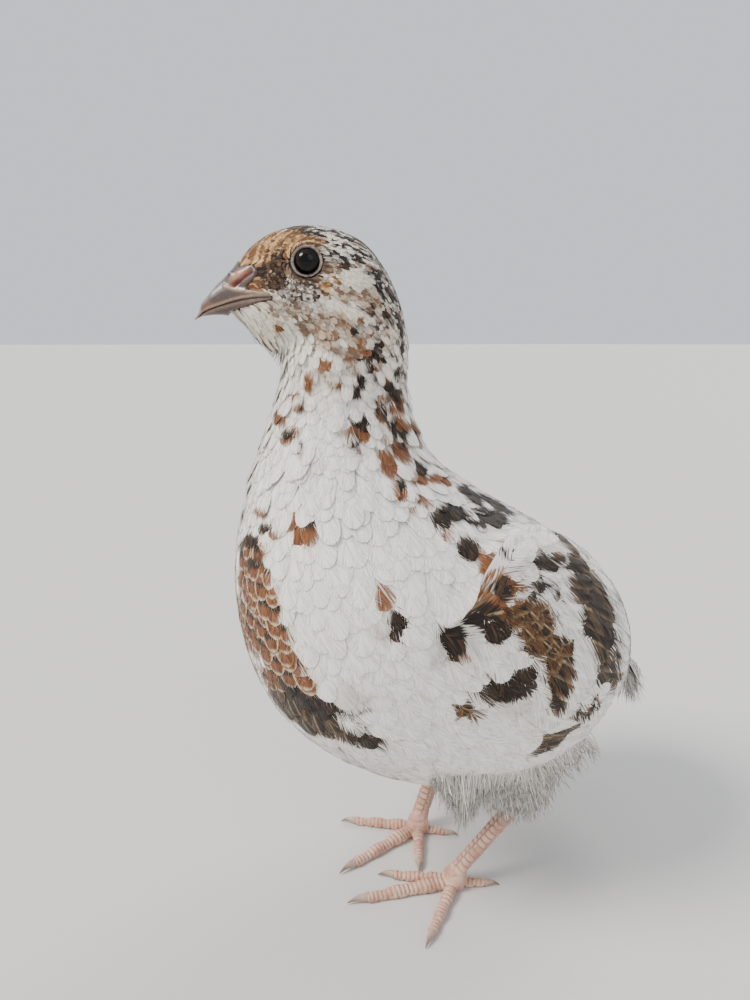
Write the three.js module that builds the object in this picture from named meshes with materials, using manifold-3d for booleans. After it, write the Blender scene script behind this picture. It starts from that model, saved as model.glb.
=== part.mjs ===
// A life-size coturnix quail hen, pied white and brown, standing alert with a stretched neck.
// Millimetres, +Z up. The body faces -Y, so the bird's own left is +X. The origin is on the
// floor, under the middle of the whole bird.
import * as THREE from "three";
import { mergeVertices } from "three/addons/utils/BufferGeometryUtils.js";
import Module from "manifold-3d";

const wasm = await Module();
wasm.setup();

// Driving dimensions.
const GAP = 0.3; // between pieces that touch
const SIDES = 34; // points round each slice of the trunk
const LEVELS = 32; // slices of the trunk
const BELLY_Z = 29.5; // the lowest feathers of the belly
const NECK_TOP_Z = 145; // where the trunk ends inside the head
const NECK_CUT = { at: [0, -28, 113], tilt: 10 }; // the parting between torso and neck, degrees
const HEAD_CUT = { at: [0, 3, -18.6], tilt: -9 }; // between neck and head, in the head's frame
const HEAD_AT = [-1.2, -37.4, 154.9]; // middle of the head, level with the eyes
const HEAD_TURN = -23; // degrees; the head looks a little to the bird's right
const EYE = { side: 4.8, back: 0.4, rise: 0.1, radius: 3.9, rim: 2.8, ring: 3.15, lid: 0.6, forward: 10, up: 1 };
const BILL_CUT_Y = -13.8; // in the head's frame
const SHANK_TOP_Z = 25.5;
const SHANK_END_Z = 6.8;
const SCUTES = 12; // large scales down the front of the shank
const SCUTE_STEP = 0.22; // how far each scale stands proud of the next
const TOE_SIDES = 8;
const TAIL = {
  root: [0, 48.5, 64],
  droop: 56,
  length: 27,
  thick: 4.4,
  arch: 3,
  widths: [9, 11, 11.8, 11, 8.5, 4],
};

// The trunk, from the belly up to the top of the neck. Each slice is level: its height, its
// foremost and rearmost points, its half width, and how far it leans to the bird's left.
const TRUNK = [
  { z: 29.5, front: -3, back: 22, half: 9, lean: 0 },
  { z: 31, front: -12, back: 30, half: 15.5, lean: 0 },
  { z: 34, front: -21, back: 38, half: 22, lean: 0 },
  { z: 39, front: -30, back: 45.5, half: 28, lean: 0 },
  { z: 46, front: -39, back: 51, half: 32.3, lean: 0 },
  { z: 54, front: -46, back: 53.6, half: 35.2, lean: 0 },
  { z: 63, front: -50.6, back: 52.6, half: 36.8, lean: 0 },
  { z: 73, front: -53.4, back: 47.2, half: 37.2, lean: 0 },
  { z: 84, front: -54.6, back: 37.2, half: 35.8, lean: 0 },
  { z: 94, front: -54.2, back: 24, half: 31.8, lean: 0 },
  { z: 103, front: -52, back: 7, half: 26, lean: -0.3 },
  { z: 112, front: -49.4, back: -7, half: 20.5, lean: -0.8 },
  { z: 121, front: -46.2, back: -12.6, half: 15.4, lean: -0.5 },
  { z: 130, front: -43.6, back: -15, half: 12.8, lean: 0 },
  { z: 138, front: -42.2, back: -17.2, half: 11.4, lean: 0.9 },
  { z: 145, front: -38, back: -21.5, half: 8, lean: 1.8 },
];

// The folded wing lies along an axis through the body. Stations along that axis, from the
// wrist to the wing tip, with the lower and upper edge as angles up from the bird's side.
const WING_AXIS = { from: [0, -24, 74], to: [0, 64, 52] };
const WING_EDGE = [
  { s: 1, low: 8, high: 22 },
  { s: 6, low: -3, high: 37 },
  { s: 16, low: -9, high: 49 },
  { s: 30, low: -14, high: 57 },
  { s: 46, low: -16, high: 62 },
  { s: 60, low: -12, high: 62 },
  { s: 72, low: -2, high: 60 },
  { s: 81, low: 10, high: 54 },
  { s: 87, low: 24, high: 44 },
];
const WING_LIFT = 0.75; // between the smooth side of the body and the wing
const BED_THICK = 0.9; // the thin shell that carries the vanes
const VANE_SINK = 0.45; // how high above the bed's inner face the vanes begin
const VANE_TILT = 0.22; // each vane's lower edge is raised and its upper edge sunk by this
const WING_FREE_S = 70; // beyond this the wing leaves the body and runs straight
const WING_TAPER = 0.85;

// The rows of vanes on each wing, innermost row first. Each row runs from its lowest to its
// highest vane: stations along the wing and shares of its height for the first and last root
// and tip, the width of a vane and how far its top stands above the bed's inner face.
const WING_ROWS = [
  { count: 4, roots: [[38, 0.1], [50, 0.42]], tips: [[77, 0.02], [90, 0.52]], wide: 7.5, top: 1.05 },
  { count: 5, roots: [[20, 0.1], [44, 0.52]], tips: [[52, -0.03], [80, 0.4]], wide: 9.6, top: 1.45 },
  { count: 4, roots: [[24, 0.66], [34, 0.93]], tips: [[68, 0.34], [86, 0.78]], wide: 11, top: 1.8 },
  { count: 5, roots: [[9, 0.12], [32, 0.74]], tips: [[33, 0], [58, 0.64]], wide: 10.6, top: 2.05 },
  { count: 5, roots: [[4, 0.2], [20, 0.86]], tips: [[22, 0.04], [44, 0.84]], wide: 9.8, top: 2.35 },
  { count: 4, roots: [[1, 0.35], [8, 0.9]], tips: [[13, 0.14], [27, 0.88]], wide: 9.4, top: 2.6 },
];

// A vane's outline: shares of its length and of its width.
const VANE_OUTLINE = [
  [0, 0.5],
  [0.3, 0.92],
  [0.62, 1],
  [0.88, 0.74],
  [1, 0.2],
];

// The tail's rows of vanes, in the same way, but measured down the tail and across it in mm.
const TAIL_ROWS = [
  { count: 7, roots: [[4, -8], [4, 8]], tips: [[29, -11.2], [29, 11.2]], bow: 3, wide: 6.6, top: 1.7 },
  { count: 5, roots: [[1, -6.5], [1, 6.5]], tips: [[19, -8], [19, 8]], bow: 3, wide: 6.4, top: 2.5 },
];

// The head and bill, from the tip of the bill back to the nape, in the head's own frame: how
// far behind the eyes, the top, the bottom, the half width, and the height of the widest part.
const SKULL = [
  { y: -23.5, top: -10.6, bottom: -11.3, half: 0.35, wide: -11 },
  { y: -22.8, top: -8.8, bottom: -11, half: 1, wide: -10 },
  { y: -21.5, top: -6.7, bottom: -10.6, half: 1.7, wide: -9 },
  { y: -19.7, top: -4.7, bottom: -10.3, half: 2.4, wide: -7.8 },
  { y: -17.7, top: -2.9, bottom: -10.2, half: 3, wide: -6.9 },
  { y: -15.7, top: -0.9, bottom: -10.5, half: 3.7, wide: -6.3 },
  { y: -14.2, top: 0.9, bottom: -11.4, half: 4.4, wide: -5.9 },
  { y: -12.4, top: 2.9, bottom: -13.1, half: 5.4, wide: -5.4 },
  { y: -9.6, top: 5.3, bottom: -15.8, half: 6.9, wide: -5 },
  { y: -5.7, top: 7.2, bottom: -17, half: 8.1, wide: -4.8 },
  { y: -1, top: 8.2, bottom: -17.4, half: 9.1, wide: -5 },
  { y: 4, top: 8, bottom: -19.5, half: 10.2, wide: -5.8 },
  { y: 8.5, top: 6.8, bottom: -24, half: 10.9, wide: -8 },
  { y: 12.6, top: 4.7, bottom: -27, half: 10.9, wide: -10.5 },
  { y: 15.8, top: 0.8, bottom: -28, half: 10.1, wide: -13 },
  { y: 18.6, top: -3.8, bottom: -28, half: 8.1, wide: -15 },
  { y: 20.6, top: -9.2, bottom: -27, half: 5.5, wide: -17 },
  { y: 21.9, top: -15, bottom: -23, half: 1.8, wide: -19 },
];

// The line between the two halves of the bill, from the corner of the mouth to beyond the tip.
const MOUTH_LINE = [
  [-7.7, -6.8],
  [-10.5, -6.9],
  [-13.4, -7.2],
  [-16, -7.8],
  [-18.6, -8.6],
  [-20.6, -9.3],
  [-21.9, -10],
  [-24, -12],
];

// The drumstick: height above the heel, shift inward and ahead, half width and half depth.
const THIGH = [
  [0, 0, 0, 3.4, 3.8],
  [1.8, 0.3, 1.2, 5.6, 6.6],
  [5, 1.2, 3.4, 8.4, 10.4],
  [10, 2.4, 6, 10.4, 13.4],
  [17, 4, 8, 10.4, 14],
  [24, 6, 9, 8, 12],
];

// Each leg: where the heel and the toe joint are, and each toe with its direction in degrees
// (0 straight ahead, positive to the bird's left), its length, its thickness and its claw.
const LEGS = [
  {
    side: "left",
    heel: [19, 12.6],
    joint: [11.9, -4.1],
    toes: [
      { name: "hallux", turn: 150, length: 8.5, radius: 1.25, claw: 3 },
      { name: "inner", turn: -40, length: 16, radius: 1.55, claw: 4 },
      { name: "middle", turn: -16, length: 23.5, radius: 1.75, claw: 4.8 },
      { name: "outer", turn: 37, length: 18.5, radius: 1.55, claw: 4 },
    ],
  },
  {
    side: "right",
    heel: [-19.5, 16.5],
    joint: [-11.5, -0.2],
    toes: [
      { name: "hallux", turn: 138, length: 8.5, radius: 1.25, claw: 3 },
      { name: "inner", turn: 58, length: 14.3, radius: 1.5, claw: 3.5 },
      { name: "middle", turn: 10, length: 23.5, radius: 1.75, claw: 4.8 },
      { name: "outer", turn: -40, length: 18.5, radius: 1.55, claw: 4 },
    ],
  },
];

const degrees = THREE.MathUtils.degToRad;
const mix = THREE.MathUtils.lerp;
const clamp = THREE.MathUtils.clamp;

// A smooth curve through the stations of a table, at one value of its first column.
function along(stations, at, key, name) {
  const last = stations.length - 1;
  let i = 0;
  while (i < last - 1 && stations[i + 1][at] < key) i += 1;
  const a = stations[i];
  const b = stations[i + 1];
  const before = stations[Math.max(0, i - 1)];
  const after = stations[Math.min(last, i + 2)];
  const step = b[at] - a[at];
  const t = clamp((key - a[at]) / step, 0, 1);
  const slopeA = (b[name] - before[name]) / (b[at] - before[at]);
  const slopeB = (after[name] - a[name]) / (after[at] - a[at]);
  const t2 = t * t;
  const t3 = t2 * t;
  return (
    (2 * t3 - 3 * t2 + 1) * a[name] +
    (t3 - 2 * t2 + t) * step * slopeA +
    (3 * t2 - 2 * t3) * b[name] +
    (t3 - t2) * step * slopeB
  );
}

// A closed surface through rings of points, each ring with the same number of points, and
// closed at both ends by a fan round the ring's middle.
function loft(rings) {
  const count = rings[0].length;
  const points = rings.flat();
  const faces = [];
  for (let i = 0; i + 1 < rings.length; i += 1) {
    for (let j = 0; j < count; j += 1) {
      const k = (j + 1) % count;
      const a = i * count + j;
      const b = i * count + k;
      const c = a + count;
      const d = b + count;
      faces.push(a, b, d, a, d, c);
    }
  }
  [0, rings.length - 1].forEach((ring, end) => {
    const middle = new THREE.Vector3();
    rings[ring].forEach((p) => middle.addScaledVector(p, 1 / count));
    const hub = points.push(middle) - 1;
    for (let j = 0; j < count; j += 1) {
      const a = ring * count + j;
      const b = ring * count + ((j + 1) % count);
      if (end) faces.push(a, b, hub);
      else faces.push(b, a, hub);
    }
  });
  return solidFrom(points, faces);
}

// A manifold solid from points and triangles, turned right side out if need be.
function solidFrom(points, faces) {
  const geometry = new THREE.BufferGeometry().setFromPoints(points);
  geometry.setIndex(faces);
  return solidOf(geometry);
}

function solidOf(geometry) {
  const bare = geometry.clone();
  bare.deleteAttribute("normal");
  bare.deleteAttribute("uv");
  const merged = mergeVertices(bare, 1e-4);
  const build = (triVerts) =>
    new wasm.Manifold(
      new wasm.Mesh({
        numProp: 3,
        vertProperties: new Float32Array(merged.attributes.position.array),
        triVerts,
      }),
    );
  const indices = Uint32Array.from(merged.index.array);
  const made = build(indices);
  if (made.volume() > 0) return made;
  for (let i = 0; i < indices.length; i += 3)
    [indices[i + 1], indices[i + 2]] = [indices[i + 2], indices[i + 1]];
  return build(indices);
}

// The largest closed surface of a solid.
function largest(solid) {
  const pieces = solid.decompose();
  return pieces.reduce((best, p) => (p.volume() > best.volume() ? p : best));
}

const fuse = (solids) => largest(solids.reduce((all, one) => all.add(one)));

// Half space above or below a plane, as a big box resting on that plane.
function halfSpace(point, tilt, side) {
  const wide = 400;
  const box = new THREE.BoxGeometry(wide, wide, wide);
  box.translate(0, 0, (side * (wide + GAP)) / 2);
  box.rotateX(degrees(tilt));
  box.translate(...point);
  return solidOf(box);
}

// A tube along a path. Each stop has a middle, a direction, and two half sizes.
function tube(stops, sides, across = new THREE.Vector3(1, 0, 0)) {
  const rings = stops.map(({ at, along: way, wide, deep }) => {
    const forward = way.clone().normalize();
    const side = across.clone().addScaledVector(forward, -across.dot(forward)).normalize();
    const up = new THREE.Vector3().crossVectors(forward, side);
    const ring = [];
    for (let j = 0; j < sides; j += 1) {
      const a = (j / sides) * Math.PI * 2;
      ring.push(
        at
          .clone()
          .addScaledVector(side, Math.cos(a) * wide)
          .addScaledVector(up, Math.sin(a) * deep),
      );
    }
    return ring;
  });
  return loft(rings);
}

// The trunk's slice at height z, grown outward by a margin.
function slice(z, grow = 0) {
  const front = along(TRUNK, "z", z, "front") - grow;
  const back = along(TRUNK, "z", z, "back") + grow;
  return {
    front,
    back,
    half: along(TRUNK, "z", z, "half") + grow,
    lean: along(TRUNK, "z", z, "lean"),
    widest: mix(front, back, 0.48),
  };
}

// How far a point is from the middle of its slice, as a share of the way to the surface.
function share(x, y, z) {
  if (z < BELLY_Z || z > NECK_TOP_Z) return 2;
  const { front, back, half, lean, widest } = slice(z);
  const reach = y < widest ? widest - front : back - widest;
  return Math.hypot((x - lean) / half, (y - widest) / reach);
}

const wingFrom = new THREE.Vector3(...WING_AXIS.from);
const wingAlong = new THREE.Vector3(...WING_AXIS.to).sub(wingFrom).normalize();
const wingUp = new THREE.Vector3(1, 0, 0).cross(wingAlong);

// The distance from the wing's axis out to the skin of the trunk.
function trunkReach(s, angle) {
  const foot = wingFrom.clone().addScaledVector(wingAlong, s);
  const side = Math.cos(degrees(angle));
  const up = Math.sin(degrees(angle));
  let near = 0;
  let far = 60;
  for (let i = 0; i < 24; i += 1) {
    const r = (near + far) / 2;
    const p = foot.clone().addScaledVector(wingUp, r * up);
    if (share(r * side, p.y, p.z) < 1) near = r;
    else far = r;
  }
  return near;
}

// How far out the wing lies: on the trunk, but running straight near the wing tip.
function bedReach(s, angle) {
  const onTrunk = trunkReach(s, angle);
  if (s < WING_FREE_S) return onTrunk;
  return Math.max(onTrunk, trunkReach(WING_FREE_S, angle) - WING_TAPER * (s - WING_FREE_S));
}

const soft = (edge, width, value) => THREE.MathUtils.smoothstep(value, edge, edge + width);

// A point over the wing's bed on one side of the trunk.
function overBed(side, s, angle, lift) {
  const r = bedReach(s, angle) + lift;
  return wingFrom
    .clone()
    .addScaledVector(wingAlong, s)
    .addScaledVector(wingUp, r * Math.sin(degrees(angle)))
    .setX(side * r * Math.cos(degrees(angle)));
}

// The trunk and neck in one piece.
function trunk(grow = 0) {
  const rings = [];
  for (let i = 0; i <= LEVELS; i += 1) {
    const t = i / LEVELS;
    const z = mix(BELLY_Z, NECK_TOP_Z, t ** 1.25);
    const { front, back, half, lean, widest } = slice(z, grow);
    const ring = [];
    for (let j = 0; j < SIDES; j += 1) {
      const a = (j / SIDES) * Math.PI * 2;
      const c = Math.cos(a);
      const y = widest + c * (c < 0 ? widest - front : back - widest);
      ring.push(new THREE.Vector3(lean + Math.sin(a) * half, y, z - (i ? 0 : grow)));
    }
    rings.push(ring);
  }
  return loft(rings);
}

const wingAngle = (s, share) =>
  mix(along(WING_EDGE, "s", s, "low"), along(WING_EDGE, "s", s, "high"), share);

// The thin shell under a wing's vanes.
function wingBed(side) {
  const columns = 14;
  const rows = 6;
  const rings = [];
  const first = WING_EDGE[0].s;
  const last = WING_EDGE[WING_EDGE.length - 1].s - 3;
  for (let i = 0; i <= columns; i += 1) {
    const s = mix(first, last, i / columns);
    const outer = [];
    const inner = [];
    for (let j = 0; j <= rows; j += 1) {
      const angle = wingAngle(s, mix(0.02, 0.98, j / rows));
      outer.push(overBed(side, s, angle, WING_LIFT + BED_THICK));
      inner.unshift(overBed(side, s, angle, WING_LIFT));
    }
    rings.push([...outer, ...inner]);
  }
  return loft(rings);
}

// One vane: a blade over a curved surface, from its root to its tip. The surface is given by
// place(along, across, lift), and perMm tells how much of its across measure makes 1 mm.
function vane(place, perMm, root, tip, wide, top) {
  const rings = VANE_OUTLINE.map(([t, share]) => {
    const s = mix(root[0], tip[0], t);
    const a = mix(root[1], tip[1], t);
    const per = perMm(s, a);
    const way = new THREE.Vector2(tip[0] - root[0], (tip[1] - root[1]) / per).normalize();
    const half = (wide / 2) * share;
    const end = 1 - 0.35 * soft(0.75, 0.25, t);
    const at = (across, lift) => place(s - way.y * across, a + way.x * across * per, lift);
    return [
      at(-half, (top + VANE_TILT - VANE_SINK) * end + VANE_SINK),
      at(-half * 0.1, (top + 0.1 - VANE_SINK) * end + VANE_SINK),
      at(half, (top - VANE_TILT - VANE_SINK) * end + VANE_SINK),
      at(half, VANE_SINK),
      at(-half, VANE_SINK),
    ];
  });
  return loft(rings);
}

// A small fixed scatter, from -1 to 1, that differs from vane to vane.
const scatter = (seed) => 2 * (Math.abs(Math.sin(seed * 12.9898) * 43758.5453) % 1) - 1;

// A row of vanes laid side by side between its first and last.
function vaneRow(place, perMm, row, toAcross) {
  const made = [];
  for (let i = 0; i < row.count; i += 1) {
    const t = i / (row.count - 1);
    const between = ([first, last]) => [mix(first[0], last[0], t), mix(first[1], last[1], t)];
    const [rootS, rootV] = between(row.roots);
    const [tipS, tipV] = between(row.tips);
    const reach = (row.bow || 0) * (1 - (2 * t - 1) ** 2) + 0.8 * scatter(i + row.wide + row.top);
    made.push(
      vane(
        place,
        perMm,
        [rootS, toAcross(rootS, rootV)],
        [tipS + reach, toAcross(tipS + reach, tipV)],
        row.wide,
        row.top,
      ),
    );
  }
  return made;
}

// A folded wing: rows of vanes over the thin shell.
function wing(side) {
  const place = (s, angle, lift) => overBed(side, s, angle, WING_LIFT + lift);
  const perMm = (s, angle) => THREE.MathUtils.radToDeg(1 / Math.max(12, bedReach(s, angle)));
  const rows = WING_ROWS.flatMap((row) => vaneRow(place, perMm, row, wingAngle));
  return fuse([wingBed(side), ...rows]);
}

// Places a solid made in the head's own frame.
const headMatrix = new THREE.Matrix4()
  .makeTranslation(...HEAD_AT)
  .multiply(new THREE.Matrix4().makeRotationZ(degrees(HEAD_TURN)));
const inHead = (solid) => solid.transform(headMatrix.toArray());

// The skull and the bill in one piece.
function skull() {
  const sides = 24;
  const rings = [];
  const count = 24;
  const first = SKULL[0].y;
  const last = SKULL[SKULL.length - 1].y;
  for (let i = 0; i <= count; i += 1) {
    const y = mix(first, last, i / count);
    const top = along(SKULL, "y", y, "top");
    const bottom = along(SKULL, "y", y, "bottom");
    const half = along(SKULL, "y", y, "half");
    const wide = along(SKULL, "y", y, "wide");
    const ring = [];
    for (let j = 0; j < sides; j += 1) {
      const a = (j / sides) * Math.PI * 2;
      const up = Math.cos(a);
      const z = wide + up * (up > 0 ? top - wide : wide - bottom);
      ring.push(new THREE.Vector3(Math.sin(a) * half, y, z));
    }
    rings.push(ring);
  }
  return loft(rings);
}

function ball(radius, at, sides = 16) {
  const geometry = new THREE.SphereGeometry(radius, sides, sides / 2);
  geometry.rotateZ(Math.PI / 2);
  geometry.translate(...at);
  return solidOf(geometry);
}

// Turns a shape made looking along +X so that it looks out of one eye.
function atEye(geometry, side) {
  geometry.rotateZ(degrees(-EYE.forward));
  geometry.rotateY(degrees(-EYE.up));
  geometry.translate(EYE.side, EYE.back, EYE.rise);
  if (side < 0) geometry.scale(-1, 1, 1);
  return solidOf(geometry);
}

const rimDepth = Math.sqrt(EYE.radius ** 2 - EYE.rim ** 2);

function lidRing(side) {
  const ring = new THREE.TorusGeometry(EYE.ring, EYE.lid, 6, 20);
  ring.rotateY(Math.PI / 2);
  ring.translate(rimDepth + 0.05, 0, 0);
  return atEye(ring, side);
}

function socket(side) {
  const well = new THREE.CylinderGeometry(EYE.rim + 1.2, EYE.rim, 4, 20);
  well.rotateZ(-Math.PI / 2);
  well.translate(rimDepth + 2, 0, 0);
  return atEye(well, side).add(ball(EYE.radius + GAP, [side * EYE.side, EYE.back, EYE.rise]));
}

// A thin sheet that follows the line of the mouth, between two distances from the middle.
function mouthSheet(x0, x1, points) {
  return loft(
    points.map(([y, z]) =>
      [
        [x0, -1],
        [x1, -1],
        [x1, 1],
        [x0, 1],
      ].map(([x, up]) => new THREE.Vector3(x, y, z + (up * GAP) / 2)),
    ),
  );
}

// The fleshy lid over one nostril, with the slit below it.
function nostrilLid(side) {
  const lid = new THREE.SphereGeometry(1, 10, 7);
  lid.scale(0.9, 2.3, 1.25);
  lid.rotateX(degrees(-24));
  lid.translate(side * 3.2, -14.2, -2.8);
  return solidOf(lid);
}

function nostrilSlit(side) {
  const slit = new THREE.SphereGeometry(1, 8, 5);
  slit.scale(0.7, 1.3, 0.32);
  slit.rotateX(degrees(-20));
  slit.translate(side * 4, -14.9, -3.9);
  return solidOf(slit);
}

const floorVector = (turn) => new THREE.Vector3(Math.sin(degrees(turn)), -Math.cos(degrees(turn)), 0);

// A toe lying flat on the floor, from the toe joint outward, with a swelling at each joint.
function toe(leg, { turn, length, radius }) {
  const way = floorVector(turn);
  const from = new THREE.Vector3(leg.joint[0], leg.joint[1], 0);
  const side = new THREE.Vector3(way.y, -way.x, 0);
  const joints = length > 12 ? 3 : 1.5;
  const rings = [];
  const steps = Math.round(length / 1.9);
  for (let i = 0; i <= steps; i += 1) {
    const t = i / steps;
    const swell = 1 + 0.13 * Math.cos(t * joints * Math.PI * 2);
    const r = mix(radius * 1.1, radius * 0.72, t) * swell;
    const middle = from.clone().addScaledVector(way, t * length);
    const ring = [];
    for (let j = 0; j < TOE_SIDES; j += 1) {
      const a = (j / TOE_SIDES) * Math.PI * 2;
      const p = middle.clone().addScaledVector(side, Math.cos(a) * r);
      p.z = Math.max(0, 0.82 * r + Math.sin(a) * r);
      ring.push(p);
    }
    rings.push(ring);
  }
  return loft(rings);
}

function claw(leg, { turn, length, radius, claw: reach }) {
  const way = floorVector(turn);
  const from = new THREE.Vector3(leg.joint[0], leg.joint[1], 0);
  const stops = [];
  for (let i = 0; i <= 6; i += 1) {
    const t = i / 6;
    const r = mix(radius * 0.62, 0.18, t ** 1.2);
    const at = from.clone().addScaledVector(way, length + GAP + t * reach);
    at.z = 0.62 * radius * 1.2 + 0.35 * Math.sin(Math.PI * t * 0.8) - 0.5 * t * t + 0.1;
    const next = way.clone().setZ(0.3 - 0.9 * t);
    stops.push({ at, along: i ? next : way, wide: r * 0.85, deep: r });
  }
  return tube(stops, 8, new THREE.Vector3(way.y, -way.x, 0));
}

// The toe joint, with the pad below it and the stump that carries the shank.
function footPad(leg) {
  const [x, y] = leg.joint;
  const lean = new THREE.Vector3(leg.heel[0] - x, leg.heel[1] - y, SHANK_TOP_Z - 4);
  const stops = [];
  const heights = [0, 0.8, 2.2, 3.8, 5.2, SHANK_END_Z - GAP];
  const sizes = [2.2, 2.9, 3.3, 3, 2.6, 2.35];
  heights.forEach((z, i) => {
    const t = Math.max(0, (z - 4) / lean.z);
    const at = new THREE.Vector3(x + lean.x * t, y + lean.y * t, z);
    stops.push({ at, along: new THREE.Vector3(0, 0, 1), wide: sizes[i], deep: sizes[i] * 0.95 });
  });
  return tube(stops, 12);
}

function foot(leg) {
  return fuse([footPad(leg), ...leg.toes.map((one) => toe(leg, one))]);
}

// The shank, with a sawtooth of scales down its length.
function shank(leg) {
  const bottom = SHANK_END_Z;
  const lean = new THREE.Vector3(
    leg.heel[0] - leg.joint[0],
    leg.heel[1] - leg.joint[1],
    SHANK_TOP_Z - 4,
  );
  const stops = [];
  for (let i = 0; i <= SCUTES * 2; i += 1) {
    const t = Math.floor(i / 2) / SCUTES + (i % 2 ? 0.82 / SCUTES : 0);
    const z = mix(bottom, SHANK_TOP_Z, t);
    const share = (z - 4) / lean.z;
    const at = new THREE.Vector3(leg.joint[0] + lean.x * share, leg.joint[1] + lean.y * share, z);
    const swell = 0.5 * (2 * t - 1) ** 4 * (t > 0.5 ? 1.3 : 0.5);
    const r = 2.05 + swell + (i % 2 ? 0 : SCUTE_STEP);
    const tilt = 0.5 * Math.min(1, 5 * t, 5 * (1 - t));
    const up = new THREE.Vector3(0, 0, lean.length()).lerp(lean, tilt);
    stops.push({ at, along: up, wide: r * 0.92, deep: r * 1.15 });
  }
  return tube(stops, 10);
}

// The feathered drumstick, from the heel up into the belly.
function thigh(leg) {
  const [x, y] = leg.heel;
  const sign = Math.sign(x);
  const up = new THREE.Vector3(0, 0, 1);
  const stops = THIGH.map(([rise, inward, ahead, wide, deep]) => ({
    at: new THREE.Vector3(x - sign * inward, y - ahead, SHANK_TOP_Z + GAP + rise),
    along: up,
    wide,
    deep,
  }));
  return tube(stops, 16);
}

// The short drooping tail, arched across its width, with its vanes on a thin bed.
function tail() {
  const root = new THREE.Vector3(...TAIL.root);
  const way = new THREE.Vector3(0, Math.cos(degrees(TAIL.droop)), -Math.sin(degrees(TAIL.droop)));
  const out = new THREE.Vector3(0, -way.z, way.y);
  const place = (down, x, lift) =>
    root
      .clone()
      .addScaledVector(way, down)
      .addScaledVector(out, lift - TAIL.arch * (x / 12) ** 2)
      .setX(x);
  const rings = TAIL.widths.map((wide, i) => {
    const down = (i / (TAIL.widths.length - 1)) * TAIL.length;
    const ring = [];
    for (let j = 0; j < 14; j += 1) {
      const a = (j / 14) * Math.PI * 2;
      const thick = mix(TAIL.thick, 1, i / (TAIL.widths.length - 1));
      ring.push(place(down, Math.cos(a) * wide, Math.sin(a) * thick * 0.5 + 0.2));
    }
    return ring;
  });
  const rows = TAIL_ROWS.flatMap((row) => vaneRow(place, () => 1, row, (s, x) => x));
  return fuse([loft(rings), ...rows]);
}

const bird = new THREE.Group();
const surface = (name, color, roughness) =>
  new THREE.MeshStandardMaterial({ name, color, roughness, metalness: 0 });
const feathers = surface("feathers", 0xe8e2d6, 0.9);
const wingFeathers = surface("wing feathers", 0x8a6247, 0.85);
const horn = surface("horn", 0x6d6560, 0.4);
const legSkin = surface("leg skin", 0xc48f7c, 0.55);
const wet = surface("eye", 0x0b0a0c, 0.08);

function addNode(name, solid, material) {
  const made = solid.getMesh();
  const points = [];
  for (let i = 0; i < made.numVert; i += 1)
    points.push(new THREE.Vector3().fromArray(made.vertProperties, i * made.numProp));
  const geometry = new THREE.BufferGeometry().setFromPoints(points);
  geometry.setIndex(Array.from(made.triVerts));
  geometry.computeVertexNormals();
  const mesh = new THREE.Mesh(geometry, material);
  mesh.name = name;
  bird.add(mesh);
}

const below = (solid, at, tilt) => largest(solid.intersect(halfSpace(at, tilt, -1)));
const above = (solid, at, tilt) => largest(solid.intersect(halfSpace(at, tilt, 1)));

// The two sides of a cut, where the head's frame is used for the head.
function addTrunkAndHead() {
  const headWhole = skull()
    .add(nostrilLid(1))
    .add(nostrilLid(-1))
    .add(lidRing(1))
    .add(lidRing(-1))
    .subtract(socket(1))
    .subtract(socket(-1))
    .subtract(nostrilSlit(1))
    .subtract(nostrilSlit(-1));
  const billPlane = [0, BILL_CUT_Y, 0];
  const bill = largest(headWhole.intersect(halfSpace(billPlane, 90, 1)));
  const mouthInBill = MOUTH_LINE.slice(1);
  const halves = bill.subtract(mouthSheet(-6, 6, mouthInBill)).decompose();
  halves.sort((a, b) => b.boundingBox().max[2] - a.boundingBox().max[2]);
  addNode("bill_upper", inHead(halves[0]), horn);
  addNode("bill_lower", inHead(halves[1]), horn);
  const face = headWhole
    .intersect(halfSpace(billPlane, 90, -1))
    .subtract(mouthSheet(3.4, 9, MOUTH_LINE))
    .subtract(mouthSheet(-9, -3.4, MOUTH_LINE));
  const backToBody = headMatrix.clone().invert().toArray();
  const body = trunk();
  const neckTop = body.transform(backToBody);
  addNode("head", inHead(above(face.add(neckTop), HEAD_CUT.at, HEAD_CUT.tilt)), feathers);
  const headless = inHead(below(neckTop.add(face), HEAD_CUT.at, HEAD_CUT.tilt));
  addNode("neck", above(headless, NECK_CUT.at, NECK_CUT.tilt), feathers);
  addNode("torso", below(headless, NECK_CUT.at, NECK_CUT.tilt), feathers);
}

addTrunkAndHead();
addNode("eye_left", inHead(ball(EYE.radius, [EYE.side, EYE.back, EYE.rise])), wet);
addNode("eye_right", inHead(ball(EYE.radius, [-EYE.side, EYE.back, EYE.rise])), wet);
addNode("wing_left", wing(1), wingFeathers);
addNode("wing_right", wing(-1), wingFeathers);
const grownTrunk = trunk(GAP);
addNode("tail", largest(tail().subtract(grownTrunk)), wingFeathers);
LEGS.forEach((leg) => {
  addNode("thigh_" + leg.side, largest(thigh(leg).subtract(grownTrunk)), feathers);
  addNode("shank_" + leg.side, shank(leg), legSkin);
  addNode("foot_" + leg.side, foot(leg), legSkin);
  leg.toes.forEach((one) => addNode("claw_" + one.name + "_" + leg.side, claw(leg, one), horn));
});

// The origin goes on the floor under the middle of the whole bird.
const bounds = new THREE.Box3().setFromObject(bird);
const middle = bounds.getCenter(new THREE.Vector3());
bird.children.forEach((mesh) => mesh.geometry.translate(-middle.x, -middle.y, -bounds.min.z));

export default bird;
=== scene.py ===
"""A life-size coturnix quail hen, pied white and brown, standing with a stretched neck.

Metres in the scene and millimetres in the working, +Z up. The bird faces -Y and its own left
is +X. Thin closed feathers lie over one skin, and skin and feathers share the same markings.
"""

import math

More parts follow.
